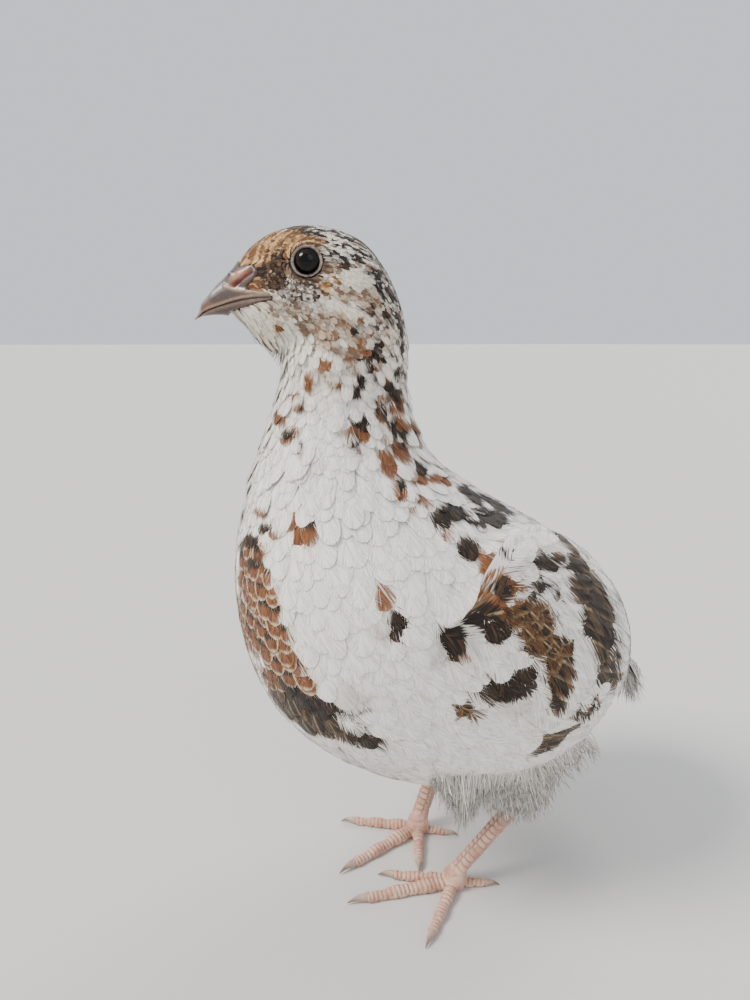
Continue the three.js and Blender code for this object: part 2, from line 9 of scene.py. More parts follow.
import bpy
import numpy as np
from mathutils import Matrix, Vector
from mathutils.bvhtree import BVHTree


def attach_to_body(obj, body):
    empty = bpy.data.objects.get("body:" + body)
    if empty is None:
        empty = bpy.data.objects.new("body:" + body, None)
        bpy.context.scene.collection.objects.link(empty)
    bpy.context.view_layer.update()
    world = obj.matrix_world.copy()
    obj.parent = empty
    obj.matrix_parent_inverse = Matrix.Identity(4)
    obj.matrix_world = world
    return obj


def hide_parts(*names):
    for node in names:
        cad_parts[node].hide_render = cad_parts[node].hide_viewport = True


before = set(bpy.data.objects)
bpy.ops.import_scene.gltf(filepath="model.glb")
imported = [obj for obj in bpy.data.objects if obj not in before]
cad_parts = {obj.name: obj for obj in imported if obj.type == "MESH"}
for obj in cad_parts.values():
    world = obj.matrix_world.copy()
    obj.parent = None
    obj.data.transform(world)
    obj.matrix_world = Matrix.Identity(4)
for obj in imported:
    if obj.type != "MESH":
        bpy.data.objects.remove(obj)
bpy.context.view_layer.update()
random = np.random.default_rng(7)

MM = 0.001  # metres
LEFT, BACK, UP = np.eye(3)  # of the bird

# The camera of the photograph, and its frame in pixels.
CAMERA_AT = (147.5, -110.54, 139.0)
CAMERA_HEADING = 60.0  # degrees from ahead (+Y) towards -X
CAMERA_PITCH = 12.0  # degrees below level
FOCAL_PIXELS = 740.0
FRAME_WIDE = 750
FRAME_HIGH = 1000
SENSOR = 36.0

# The head stands turned a little to the bird's right. Its frame has y towards the nape.
HEAD_AT = np.array([-1.2, -41.54, 154.9])
HEAD_TURN = math.radians(-23)
EYE_MIDDLE = np.array([4.8, 0.4, 0.1])
EYE_RADIUS = 3.9
EYE_FORWARD = math.radians(10)
EYE_UP = math.radians(1)

LANE_BACK = (0.0, 26.0, -9.0)  # streaks run straight back behind the eye along this line
LANE_FINE = 2.1  # streaks to the mm across and along
LANE_COARSE = 0.26
LANE_DEEP = 0.6  # they turn about a point this share of the eye's radius out from its middle
LANE_FADES = (118.0, 142.0)  # the streaks tell above these heights

LID_FROM = 41.0  # the bare lid, as angles from the middle of the eye in degrees
LID_TO = 54.0
LID_HIGH = 0.42
LID_RINGS = 28  # rings of points round the lid, the first of them over its top
LID_OVER = 17
LID_TURNS = 128

# The line between the two halves of the bill, from the corner of the mouth to the tip, as y and
# z in the head's frame, and the outline of what is bare there.
MOUTH_LINE = [
    (-7.7, -6.8), (-10.5, -6.9), (-13.4, -7.2), (-16, -7.8),
    (-18.6, -8.6), (-20.6, -9.3), (-21.9, -10), (-24, -12),
]
BARE_BILL = [
    (-14.6, 3), (-14, -0.6), (-11.2, -0.4), (-10.4, -1.6), (-11.0, -3), (-12.8, -4.5), (-12.3, -5.4),
    (-9, -5.9), (-7.6, -6.3), (-7.6, -7.2), (-11.0, -7.9), (-14.2, -8.9), (-16.4, -9.6),
    (-16.6, -13), (-30, -13), (-30, 3),
]
BILL_AXIS = [(-24.1, -12), (-23.5, -11.4), (-22, -9.6), (-20, -8.2), (-16, -6), (-6, -4.8)]
BILL_BACK = -6.3  # how far back the bill's own piece runs under the feathers
BILL_STATIONS = 160
BILL_TURNS = 208
SLIT = [(-15.1, -4.3), (-11.6, -1.75)]  # the open nostril, below its flap
FLAP_AT = (-13.9, -2.5)
FLAP_TURN = math.radians(31)
FLAP_HALF = (2.7, 1.15)
HORN_RIDGE = [(-16.8, -4.5), (-14.6, -5.2), (-12.4, -5.6), (-7.65, -6.0)]

# The legs in mm: the heel and the joint of the toes in plan, and for each toe its turn from
# ahead towards the bird's left in degrees, its length, its thickness and its claw.
HEEL_Z = 25.5
JOINT_Z = 4.0
LEGS = {
    "left": {
        "heel": (19.0, 8.46), "joint": (11.9, -8.24),
        "toes": {
            "hallux": (150, 8.5, 1.25, 3.0), "inner": (-40, 16.0, 1.55, 4.0),
            "middle": (-16, 23.5, 1.75, 4.8), "outer": (37, 18.5, 1.55, 4.0),
        },
    },
    "right": {
        "heel": (-19.5, 12.36), "joint": (-11.5, -4.34),
        "toes": {
            "hallux": (138, 8.5, 1.25, 3.0), "inner": (58, 14.3, 1.5, 3.5),
            "middle": (10, 23.5, 1.75, 4.8), "outer": (-40, 18.5, 1.55, 4.0),
        },
    },
}
LEG_VOXEL = 0.24
SHANK_SCUTE = 1.6
TOE_SCUTE = 1.15
TOE_PAD = 2.6
SMALL_SCUTE = 0.95

FLESH = ["torso", "neck", "head", "thigh_left", "thigh_right"]
FIELD_CELL = 1.0
FIELD_BAND = 8.0
FIELD_COARSE = 4
SKIN_VOXEL = 1.1
SKIN_QUILL = (0.4, 0.0, 0.8)  # the skin is coloured as a feather is here: across, seed and along
SKIN_LONG = 4.0

# How the plumage changes over the bird: for each place, where it is, which way its feathers
# lie, and then their length, their width and how deep the coat is over the skin, in mm.
# A row that ends in BOTH is followed by its mirror image.
BOTH = True
PLUMAGE = [
    ((-6.8, -56.5, 156.5), (0.3, 0.8, 0.5), (2.4, 0.72, 0.4)),
    ((-4, -51, 161), (0.36, 0.9, 0.3), (3, 0.85, 0.5)),
    ((-9, -57.5, 148), (0.35, 0.85, -0.35), (2.2, 0.72, 0.45)),
    ((0, -54, 154), (0.36, 0.9, 0.1), (2.1, 0.7, 0.4)),
    ((4.5, -45, 154), (0.39, 0.92, -0.15), (2, 0.7, 0.4)),
    ((-9.5, -40, 154), (0.39, 0.92, -0.15), (2, 0.7, 0.4)),
    ((2, -50.5, 148), (0.36, 0.85, -0.4), (2.1, 0.7, 0.45)),
    ((-1.2, -44, 163), (0.39, 0.92, 0), (3.6, 1, 0.7)),
    ((2.5, -33, 160), (0.3, 0.75, -0.5), (4.2, 1.2, 0.9)),
    ((5, -24, 148), (0.15, 0.3, -0.95), (5.2, 1.5, 1.2)),
    ((9, -37, 153), (0.36, 0.85, -0.45), (4, 1, 0.8)),
    ((-8, -31, 153), (0.36, 0.85, -0.45), (4, 1, 0.8)),
    ((7, -36, 145), (0.25, 0.6, -0.75), (4, 1.25, 0.9)),
    ((-6, -31, 145), (0.25, 0.6, -0.75), (4, 1.25, 0.9)),
    ((-5.5, -52, 142), (0.1, 0.3, -0.95), (4.2, 1.1, 0.8)),
    ((0, -42, 133), (0, 0.1, -1), (6, 1.75, 1.3)),
    ((0, -22, 133), (0, 0.1, -1), (6.4, 2, 1.4)),
    ((0, -48, 115), (0, -0.1, -1), (9, 3.78, 1.8)),
    ((0, -14, 113), (0, 0.5, -0.85), (9, 4.13, 1.8)),
    ((0, -57, 92), (0, -0.02, -1), (12.5, 5.5, 2.2)),
    ((24, -38, 92), (0.25, 0.25, -0.9), (13, 5.68, 2.2), BOTH),
    ((0, -54, 65), (0, 0.35, -0.95), (14, 6.19, 2.4)),
    ((33, -20, 65), (0.05, 0.72, -0.7), (16, 6.36, 2.4), BOTH),
    ((0, -30, 37), (0, 0.97, -0.2), (15, 6.36, 2.4)),
    ((30, 15, 46), (0, 0.97, -0.1), (17, 6.36, 2.4), BOTH),
    ((0, 20, 30), (0, 0.98, 0.15), (15, 6.02, 2.4)),
    ((0, 42, 45), (0, 0.8, 0), (15, 5.68, 2.4)),
    ((0, -2, 98), (0, 0.88, -0.45), (12, 5.68, 2)),
    ((0, 20, 86), (0, 0.85, -0.5), (14, 6.19, 2)),
    ((0, 42, 68), (0, 0.7, -0.7), (14, 6.02, 2.2)),
    ((17, 5, 32), (0, 0.25, -1), (8, 3.44, 1.7)),
    ((-17, 9, 32), (0, 0.25, -1), (8, 3.44, 1.7)),
]
PLUMAGE_NECK = 125.0  # each place above this tells as far as in the head, and below as in the body
PLUMAGE_REACH_HEAD = 7.0
PLUMAGE_REACH_BODY = 15.0
CROWN = 0.5  # how much a feather's face turns away from its shaft

# The folded wing lies along an axis through the body. Stations along that axis, from the
# wrist to the wing tip, with the lower and upper edge as angles up from the bird's side.
WING_FROM = np.array([0.0, -28.14, 74.0])
WING_TO = np.array([0.0, 59.86, 52.0])
WING_EDGE = np.array([
    (1, 8, 22), (6, -3, 37), (16, -9, 49), (30, -14, 57), (46, -16, 62),
    (60, -12, 62), (72, -2, 60), (81, 10, 54), (87, 24, 44),
], float)
WING_LIFT = 0.75
WING_FREE_S = 70.0
WING_TAPER = 0.85
WING_STATIONS = np.arange(-14.0, 100.0, 2.0)
WING_ANGLES = np.arange(-60.0, 116.0, 4.0)
WING_SINK = 0.3  # how high the roots of the vanes lie
WING_TILT = 0.3  # each vane's lower edge is raised and its upper edge sunk by this

# The rows of wing feathers, innermost first: how many, the station along the wing and the share
# of its height for the root of the lowest and of the highest, the same for their tips, the width
# of a feather and how far its top stands out.
WING_ROWS = [
    (7, (38, 0.1), (50, 0.42), (76, 0.02), (90, 0.5), 7.0, 1.0),
    (10, (20, 0.1), (44, 0.52), (52, -0.03), (80, 0.4), 8.4, 1.4),
    (6, (24, 0.62), (34, 0.93), (66, 0.32), (86, 0.78), 10.5, 1.8),
    (11, (9, 0.12), (32, 0.74), (33, 0.0), (58, 0.64), 8.4, 2.05),
    (11, (4, 0.2), (20, 0.86), (22, 0.04), (44, 0.84), 7.8, 2.3),
    (10, (1, 0.3), (10, 0.9), (15, 0.1), (31, 0.88), 7.4, 2.5),
    (9, (-4, 0.35), (3, 0.92), (8, 0.16), (20, 0.9), 7.0, 2.7),
]

# The tail: its root, how it droops, and its rows measured down the tail and across it in mm.
TAIL_ROOT = np.array([0.0, 44.36, 64.0])
TAIL_DROOP = math.radians(56)
TAIL_ARCH = 3.0
TAIL_ROWS = [
    (10, (4, -7.5), (4, 7.5), (27.5, -10.8), (27.5, 10.8), 6.2, 1.4),
    (8, (1, -6.5), (1, 6.5), (20, -8.5), (20, 8.5), 5.8, 2.0),
    (7, (-3, -5.5), (-3, 5.5), (13, -7), (13, 7), 5.8, 2.6),
]
TAIL_BOW = 2.5  # how much further the middle feathers reach than the outer ones

# The barbs of a feather.
BARB_WIDE = 0.0085  # half the width of a loose barb, as a share of the feather's length
BARB_PAST = 0.085  # how far a loose barb runs past the edge, as a share of the length

SWEEP = (0.8, 1.4)  # how the barbs' pattern runs along a feather and across it
SWEEP_FINE = (0.45, 2.4)
SWEEP_SOFT = (0.55, 2.0)
ROOT_RISE = 2.5  # how soon a feather comes up from the skin to the coat's surface
TIP_PROUD = 0.03  # how far its tip stands out past that surface, as a share of the coat's depth

# Markings, as ellipses in the photograph's pixels: the middle, the half axes, and the slant in
# degrees down from level. A mark is carried out to the plumage along the camera's line of sight.
MARKS = {
    "rust": [
        # front of the neck
        (309, 382, 6, 10, 0), (295, 396, 5, 5, 0), (301, 407, 5, 4, 0), (280, 417, 6, 7, 0),
        (287, 436, 7, 4, 0), (296, 429, 3, 3, 0), (301, 453, 4, 5, 0), (325, 361, 5, 6, 0),
        # side and back of the neck
        (338, 386, 9, 5, 0), (363, 350, 8, 5, 20), (360, 432, 13, 6, 0), (399, 424, 6, 14, -20),
        (401, 448, 6, 12, -20), (415, 434, 4, 15, -15), (399, 403, 5, 10, -20), (389, 386, 6, 9, -25),
        (409, 388, 2, 8, 0), (388, 462, 7, 15, -35), (420, 475, 9, 7, 30), (438, 480, 11, 6, 15),
        (412, 480, 3, 8, -30), (397, 489, 6, 8, 0), (421, 499, 8, 4, 35), (357, 449, 4, 4, 0),
        (357, 340, 4, 8, 0), (277, 328, 5, 7, -25), (413, 507, 2, 6, -20),
        # breast
        (257, 510, 4, 6, 0), (264, 513, 4, 6, 0), (276, 535, 8, 7, 20), (293, 521, 5, 9, 0),
        (302, 536, 12, 9, 0), (292, 655, 9, 7, 20), (383, 602, 4, 14, -8), (391, 635, 9, 5, 10),
        (460, 658, 14, 6, 5), (444, 530, 4, 6, -40), (419, 500, 5, 5, 0),
        # shoulder and wing
        (480, 555, 6, 17, -35), (488, 568, 8, 14, -35), (497, 584, 8, 15, -25), (506, 566, 10, 4, -25),
        (514, 583, 11, 10, 0), (559, 558, 5, 7, 0), (508, 598, 12, 9, 20), (530, 536, 5, 2, 0),
    ],
    "black": [
        (370, 312, 3, 3, 0), (386, 313, 4, 4, 0), (384, 326, 3, 4, 0), (353, 328, 4, 5, 0),
        (378, 344, 6, 5, 0), (373, 355, 6, 6, 0), (383, 356, 4, 4, 0), (372, 370, 5, 5, 0),
        (362, 381, 6, 6, 0), (357, 393, 6, 6, 0), (400, 372, 5, 4, 0), (389, 388, 4, 8, -25),
        (402, 344, 2, 7, 0), (401, 328, 2, 6, 0), (403, 319, 3, 5, -30), (399, 304, 2, 6, -20),
        (361, 424, 11, 7, 0), (350, 410, 3, 9, -10), (353, 441, 3, 8, 0), (394, 426, 4, 11, -15),
        (404, 434, 3, 7, -10), (381, 404, 4, 5, 0), (396, 398, 3, 3, 0), (404, 449, 2, 10, -20),
        (419, 432, 2, 14, -15), (420, 468, 5, 11, -40), (441, 471, 9, 4, 25), (442, 464, 8, 2, 25),
        (398, 484, 4, 5, 0), (416, 496, 3, 3, 0), (289, 432, 6, 4, 0), (301, 445, 3, 6, 0),
        # breast
        (265, 526, 7, 5, 0), (311, 530, 3, 4, 0), (250, 540, 7, 4, 0), (253, 562, 9, 6, 0),
        (399, 623, 8, 13, -8), (461, 645, 13, 17, -8), (450, 635, 11, 13, -10),
        (319, 706, 34, 9, 22), (296, 695, 20, 8, 40), (348, 733, 20, 4, 30), (368, 743, 12, 3, 25),
        (385, 745, 8, 2, 15), (465, 693, 7, 3, 20), (360, 711, 9, 4, -10),
        # shoulder
        (450, 514, 20, 12, 5), (488, 516, 20, 10, 10), (470, 494, 18, 11, 25), (495, 504, 24, 11, 20),
        (468, 546, 11, 11, 30), (511, 586, 7, 8, 0), (549, 561, 17, 8, -5), (547, 583, 14, 6, 0),
        (563, 595, 8, 15, -20), (535, 594, 8, 6, 0), (535, 513, 15, 5, 32), (552, 526, 14, 4, 35),
        # wing
        (496, 628, 16, 15, 15), (509, 690, 29, 14, -22), (529, 675, 8, 14, 40), (557, 699, 9, 14, -10),
        (600, 598, 6, 15, -28), (612, 640, 6, 14, -10), (604, 684, 7, 12, 15), (578, 566, 5, 12, -35),
        (510, 547, 9, 2, 40), (631, 640, 3, 42, 0),
    ],
    "wild": [
        (526, 612, 36, 16, 8), (542, 640, 26, 20, 25), (562, 655, 23, 22, 20), (565, 677, 20, 20, 0),
        (558, 698, 12, 16, -10), (464, 713, 15, 8, 15),
        (504, 498, 24, 5, 28),
    ],
    "band": [
        (566, 541, 20, 6, 40), (583, 564, 10, 19, -35), (596, 590, 16, 24, -28), (606, 620, 18, 24, -15),
        (614, 648, 16, 22, -5), (610, 674, 16, 18, 10), (592, 704, 8, 19, 30), (554, 738, 24, 7, -35),
        (298, 714, 44, 12, 36), (350, 735, 44, 6, 18),
    ],
    "scallop": [
        (247, 552, 16, 17, 0), (250, 580, 16, 20, 0), (258, 606, 18, 24, 0), (262, 640, 22, 26, -20),
        (276, 672, 22, 24, -30), (292, 690, 26, 16, 35),
    ],
    "grey": [
        (437, 655, 10, 10, 0), (381, 632, 9, 8, 0), (495, 530, 12, 6, 0), (356, 700, 16, 8, 0),
        (352, 441, 5, 9, 0), (314, 468, 3, 6, 20), (478, 645, 10, 10, 0), (520, 710, 16, 5, -15),
    ],
    "white": [
        (262, 660, 2, 9, -15), (476, 513, 7, 5, 0), (236, 575, 5, 26, 0), (359, 411, 7, 7, 0),
        (520, 525, 18, 9, 20), (545, 540, 12, 8, 30), (602, 690, 10, 5, -50), (579, 636, 5, 28, -22),
        (586, 690, 8, 30, 18), (618, 616, 3, 24, -12),
    ],
    "gold": [
        (262, 250, 20, 20, -40), (288, 238, 30, 12, -10), (283, 250, 24, 11, -25), (324, 287, 11, 7, -30),
        (250, 262, 10, 10, 0), (310, 240, 20, 6, 8), (256, 284, 13, 9, -10),
    ],
    "brown": [
        (275, 262, 9, 13, 30), (263, 270, 10, 7, 0), (273, 281, 16, 9, 0), (308, 266, 23, 19, 0),
        (282, 271, 20, 9, -15), (329, 262, 11, 10, 0), (344, 264, 12, 5, -15), (298, 289, 26, 9, 5),
        (298, 225, 36, 4, 0), (382, 284, 4, 14, -25),
    ],
    "streaky": [
        (338, 242, 24, 8, 25), (356, 250, 20, 9, 40), (330, 230, 26, 6, 14), (372, 262, 14, 9, 50),
        (384, 284, 8, 22, -20), (394, 300, 6, 24, -12), (340, 252, 14, 8, 20),
    ],
    "malar": [
        (262, 302, 28, 6, 8), (282, 307, 30, 9, 15), (302, 315, 24, 10, 28), (310, 326, 18, 11, 40),
        (326, 318, 14, 8, 20), (326, 340, 16, 12, 0), (370, 296, 14, 12, 30), (346, 294, 14, 8, 0),
        (344, 326, 8, 16, -25), (350, 352, 9, 12, 0), (322, 364, 7, 9, 0),
    ],
    "cream": [
        (356, 268, 17, 12, -30), (362, 280, 22, 10, 20), (345, 278, 10, 9, 0), (390, 320, 8, 30, -15),
        (345, 310, 16, 8, 20), (262, 325, 16, 20, 20),
    ],
}

# Small marks strewn over parts of the bird: the kind, the middle, half size and slant of the
# part in pixels, how many marks, and the half length and half width of each.
FLECKS = [
    ("black", 298, 290, 25, 8, 10, 56, 1.9, 0.6), ("white", 300, 290, 22, 5, 10, 24, 1.3, 0.45),
    ("white", 284, 290, 10, 4, 5, 8, 1.4, 0.5), ("black", 389, 290, 10, 36, -15, 40, 3.4, 0.8),
    ("rust", 371, 308, 16, 18, 0, 24, 2.2, 1.1), ("black", 372, 312, 17, 16, 0, 26, 1.8, 1.0),
    ("rust", 336, 328, 28, 22, 0, 16, 2.2, 0.9), ("black", 296, 299, 16, 2.5, 12, 30, 3.2, 0.9),
    ("black", 312, 301, 10, 4, 10, 14, 2.4, 0.9), ("white", 334, 258, 12, 9, 0, 8, 1.8, 0.5),
    ("grey", 365, 274, 20, 11, 35, 30, 3.6, 0.5), ("white", 276, 308, 26, 5, 12, 8, 2.0, 0.4),
    ("malar", 352, 296, 22, 9, 10, 20, 3.0, 0.8), ("gold", 326, 283, 12, 6, -30, 14, 2.4, 0.8),
    ("black", 332, 716, 44, 9, 24, 18, 5.0, 1.8), ("rust", 365, 345, 24, 34, 0, 46, 2.8, 1.5),
    ("black", 374, 350, 20, 34, 0, 34, 2.2, 1.6), ("rust", 330, 372, 26, 16, 0, 14, 2.6, 1.6),
    ("black", 396, 350, 6, 44, -6, 26, 3.0, 1.3), ("rust", 392, 420, 14, 40, -14, 26, 4.0, 2.2),
    ("black", 392, 420, 16, 40, -14, 22, 3.4, 2.0),
]
FLECK_LIE = 30.0  # degrees down towards the nape
FLECK_SPREAD = 16.0
HEAD_FROM = 136.0  # marks above this are mirrored about the turned head
KINDS = "rust black wild white band scallop grey cream gold brown malar streaky".split()
MOTTLED = np.array([kind == "wild" or KINDS.index(kind) > 5 for kind in KINDS])
MARK_DEPTH = 9.0  # how far a mark tells above and below its own surface, mm
MARK_CLIP = 4.0
MIRROR_FROM = 6.0  # marks this far to the left are given to the unseen right side too

# Unseen marks of the back: their kind, middle and half axes in mm.
BACK_MARKS = [
    ("wild", (0, 8, 92), (11, 0, 0), (0, 16, -8)),
    ("wild", (2, 34, 77), (9, 0, 0), (0, 12, -9)),
    ("black", (5, 2, 96), (5, 1, 0), (0, 5, -2)),
    ("black", (-6, 14, 91), (4, 1, 0), (0, 6, -3)),
    ("wild", (-8, -16, 104), (7, 0, -3), (0, 7, -6)),
    ("rust", (0, -19, 118), (4, 0, 0), (0, 2, -8)),
    ("black", (3, -22, 128), (2.5, 0, 0), (0, 0, 4)),
    ("black", (-4, -21, 121), (2.5, 0, 0), (0, 0, 4)),
    ("brown", (0, -38, 163), (8, 0, 0), (3, 9, -1)),
    ("brown", (2, -30, 158), (6, 0, 0), (2, 6, -5)),
    ("gold", (-6, -52, 160), (6, -2, 0), (2, 5, 3)),
]

# The shape of the coat's unwrap: the middle of the body at each height, in mm.
SPREAD_HEIGHTS = (0, 40, 70, 90, 110, 130, 165)
SPREAD_MIDDLES = (5, 0, -5, -12, -30, -34, -42)
PATCH = 0.003

# The contour feathers: the gap between roots, as a share of a feather's size, how often a root
# is tried there, and where none grow: by the eye, and under the wing and the tail.
GAP_BODY = 0.238
GAP_HEAD = 0.222
ROOT_TRIES = 7.0
BARE_EYE = 3.45
UNDER_WING_S = (14, 82)
UNDER_WING_SHARE = (0.14, 0.9)
UNDER_TAIL_Y = 47
UNDER_TAIL_Z = (38, 66)

# The contour feathers' pieces part at these places.
FACE_ABOVE = 138.0
NECK_ABOVE = 108.0
BREAST_AHEAD = -20.0

# Loose down: how many slivers, their length and half thickness in mm, how far round each heel
# and how high it grows, and how low it may hang. Its skirt between the legs hangs to a point:
# where it runs across the photograph, in pixels, and how long it is there, in mm.
DOWN_COUNT = 8000
DOWN_LONG = (4.5, 10.5)
DOWN_THICK = 0.15
DOWN_ROUND_LEG = 16.0
DOWN_BELOW = 42.0
DOWN_FLOOR = 14.0
SKIRT = [(430, 3.0), (444, 7.0), (464, 15.0), (480, 9.5), (505, 7.0), (530, 6.5), (552, 4.0)]
SKIRT_POINT = 464
SKIRT_HIGH = 777
SKIRT_COUNT = 1300
SKIRT_LEAN = 0.006
DOWN_CLUMPS = np.array([[0.9, -1.3, 0.4], [1.1, 0.8, -0.9], [0.3, 0.6, 1.2]])

# The beard: pointed tufts under the chin, in the head's frame.
BEARD_AT = (0.0, -9.5, -14.5)
BEARD_HALF = (4.0, 4.0, 4.5)
BEARD_LIFT = 3.0

WINGS = ["wing_left", "wing_right"]
HORN = ["bill_upper", "bill_lower"]
EYES = ["eye_left", "eye_right"]


def mix(a, b, t):
    return a + (b - a) * t


def ramp(low, high, x):
    """0 below low, 1 above high, and smooth between."""
    t = np.clip((x - low) / (high - low), 0, 1)
    return t * t * (3 - 2 * t)


def between(x, ends):
    return (x > ends[0]) & (x < ends[1])


def unit(v):
    return v / np.maximum(np.linalg.norm(v, axis=-1, keepdims=True), 1e-9)


def in_head(p):
    """Points of the bird, in mm, in the head's own frame."""
    q = np.asarray(p, float) - HEAD_AT
    c, s = math.cos(HEAD_TURN), math.sin(HEAD_TURN)
    return np.stack([c * q[..., 0] + s * q[..., 1], c * q[..., 1] - s * q[..., 0], q[..., 2]], -1)


def from_head(p):
    """Points of the head's own frame in the bird's, in mm."""
    p = np.asarray(p, float)
    c, s = math.cos(HEAD_TURN), math.sin(HEAD_TURN)
    turned = [c * p[..., 0] - s * p[..., 1], s * p[..., 0] + c * p[..., 1], p[..., 2]]
    return np.stack(turned, -1) + HEAD_AT


def turn_from_head(v):
    return from_head(v) - HEAD_AT


# Meshes


def node_mesh(names):
    """The points, in mm, and the triangles of some nodes together."""
    points, faces, start = [], [], 0
    for name in names:
        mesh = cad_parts[name].data
        mesh.calc_loop_triangles()
        co = np.zeros(len(mesh.vertices) * 3)
        mesh.vertices.foreach_get("co", co)
        tri = np.zeros(len(mesh.loop_triangles) * 3, int)
        mesh.loop_triangles.foreach_get("vertices", tri)
        points.append(co.reshape(-1, 3) / MM)
        faces.append(tri.reshape(-1, 3) + start)
        start += len(mesh.vertices)
    return np.concatenate(points), np.concatenate(faces)


def make_object(name, points, faces):
    """A mesh object from points in mm and faces of one size."""
    mesh = bpy.data.meshes.new(name)
    faces = np.asarray(faces, np.int32)
    sides = faces.shape[1]
    mesh.vertices.add(len(points))
    mesh.vertices.foreach_set("co", (np.asarray(points, float) * MM).astype(np.float32).ravel())
    mesh.loops.add(faces.size)
    mesh.loops.foreach_set("vertex_index", faces.ravel())
    mesh.polygons.add(len(faces))
    mesh.polygons.foreach_set("loop_start", np.arange(0, faces.size, sides, dtype=np.int32))
    mesh.polygons.foreach_set("use_smooth", np.full(len(faces), True))
    mesh.update(calc_edges=True)
    mesh.validate()
    obj = bpy.data.objects.new(name, mesh)
    bpy.context.scene.collection.objects.link(obj)
    return obj


def set_attribute(obj, name, values):
    """A colour of four numbers, or one number, for each point of a mesh."""
    values = np.asarray(values, np.float32)
    if values.ndim == 1:
        made = obj.data.attributes.new(name, "FLOAT", "POINT")
        made.data.foreach_set("value", values)
        return
    made = obj.data.attributes.new(name, "FLOAT_COLOR", "POINT")
    made.data.foreach_set("color", values.ravel())


def set_normals(obj, normals):
    """The way each point looks for light and shade."""
    made = obj.data.attributes.new("custom_normal", "FLOAT_VECTOR", "POINT")
    made.data.foreach_set("vector", np.asarray(normals, np.float32).ravel())
    obj.data.update()


def set_unwrap(obj, places, faces):
    layer = obj.data.uv_layers.new(name="OFBake")
    layer.data.foreach_set("uv", places[faces.ravel()].astype(np.float32).ravel())


def finish_piece(obj, material, replaces=()):
    obj.data.materials.append(material)
    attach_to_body(obj, "root")
    if replaces:
        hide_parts(*replaces)


def remeshed(name, points, faces, voxel):
    """The points and quads of a voxel remesh of a closed mesh."""
    rough = make_object(name + "_rough", points, faces)
    modifier = rough.modifiers.new("remesh", "REMESH")
    modifier.mode = "VOXEL"
    modifier.voxel_size = voxel * MM
    graph = bpy.context.evaluated_depsgraph_get()
    mesh = bpy.data.meshes.new_from_object(rough.evaluated_get(graph))
    co = np.zeros(len(mesh.vertices) * 3)
    mesh.vertices.foreach_get("co", co)
    quads = np.zeros(len(mesh.loops), int)
    mesh.loops.foreach_get("vertex_index", quads)
    bpy.data.objects.remove(rough)
    return co.reshape(-1, 3) / MM, quads.reshape(-1, 4)


def halves(quads):
    """The two triangles of each quad, all the first ones and then all the second ones."""
    return np.concatenate([quads[:, [0, 1, 2]], quads[:, [0, 2, 3]]])


def relaxed(points, quads, rounds):
    """Points of a mesh, each drawn towards the mean of its neighbours."""
    ends = np.concatenate([quads[:, [0, 1]], quads[:, [1, 2]], quads[:, [2, 3]], quads[:, [3, 0]]])
    count = np.bincount(ends.ravel(), minlength=len(points))[:, None]
    for _ in range(rounds):
        total = np.zeros_like(points)
        np.add.at(total, ends[:, 0], points[ends[:, 1]])
        np.add.at(total, ends[:, 1], points[ends[:, 0]])
        points = mix(points, total / np.maximum(count, 1), 0.5)
    return points


# The distance to a surface, kept on a grid


def blurred(grid, width):
    reach = int(math.ceil(2.5 * width))
    weights = np.exp(-0.5 * (np.arange(-reach, reach + 1) / width) ** 2)
    weights /= weights.sum()
    for axis in range(3):
        padding = [(0, 0)] * 3
        padding[axis] = (reach, reach)
        wide = np.pad(grid, padding, mode="edge")
        size = grid.shape[axis]
        grid = sum(w * wide.take(range(k, k + size), axis) for k, w in enumerate(weights))
    return grid


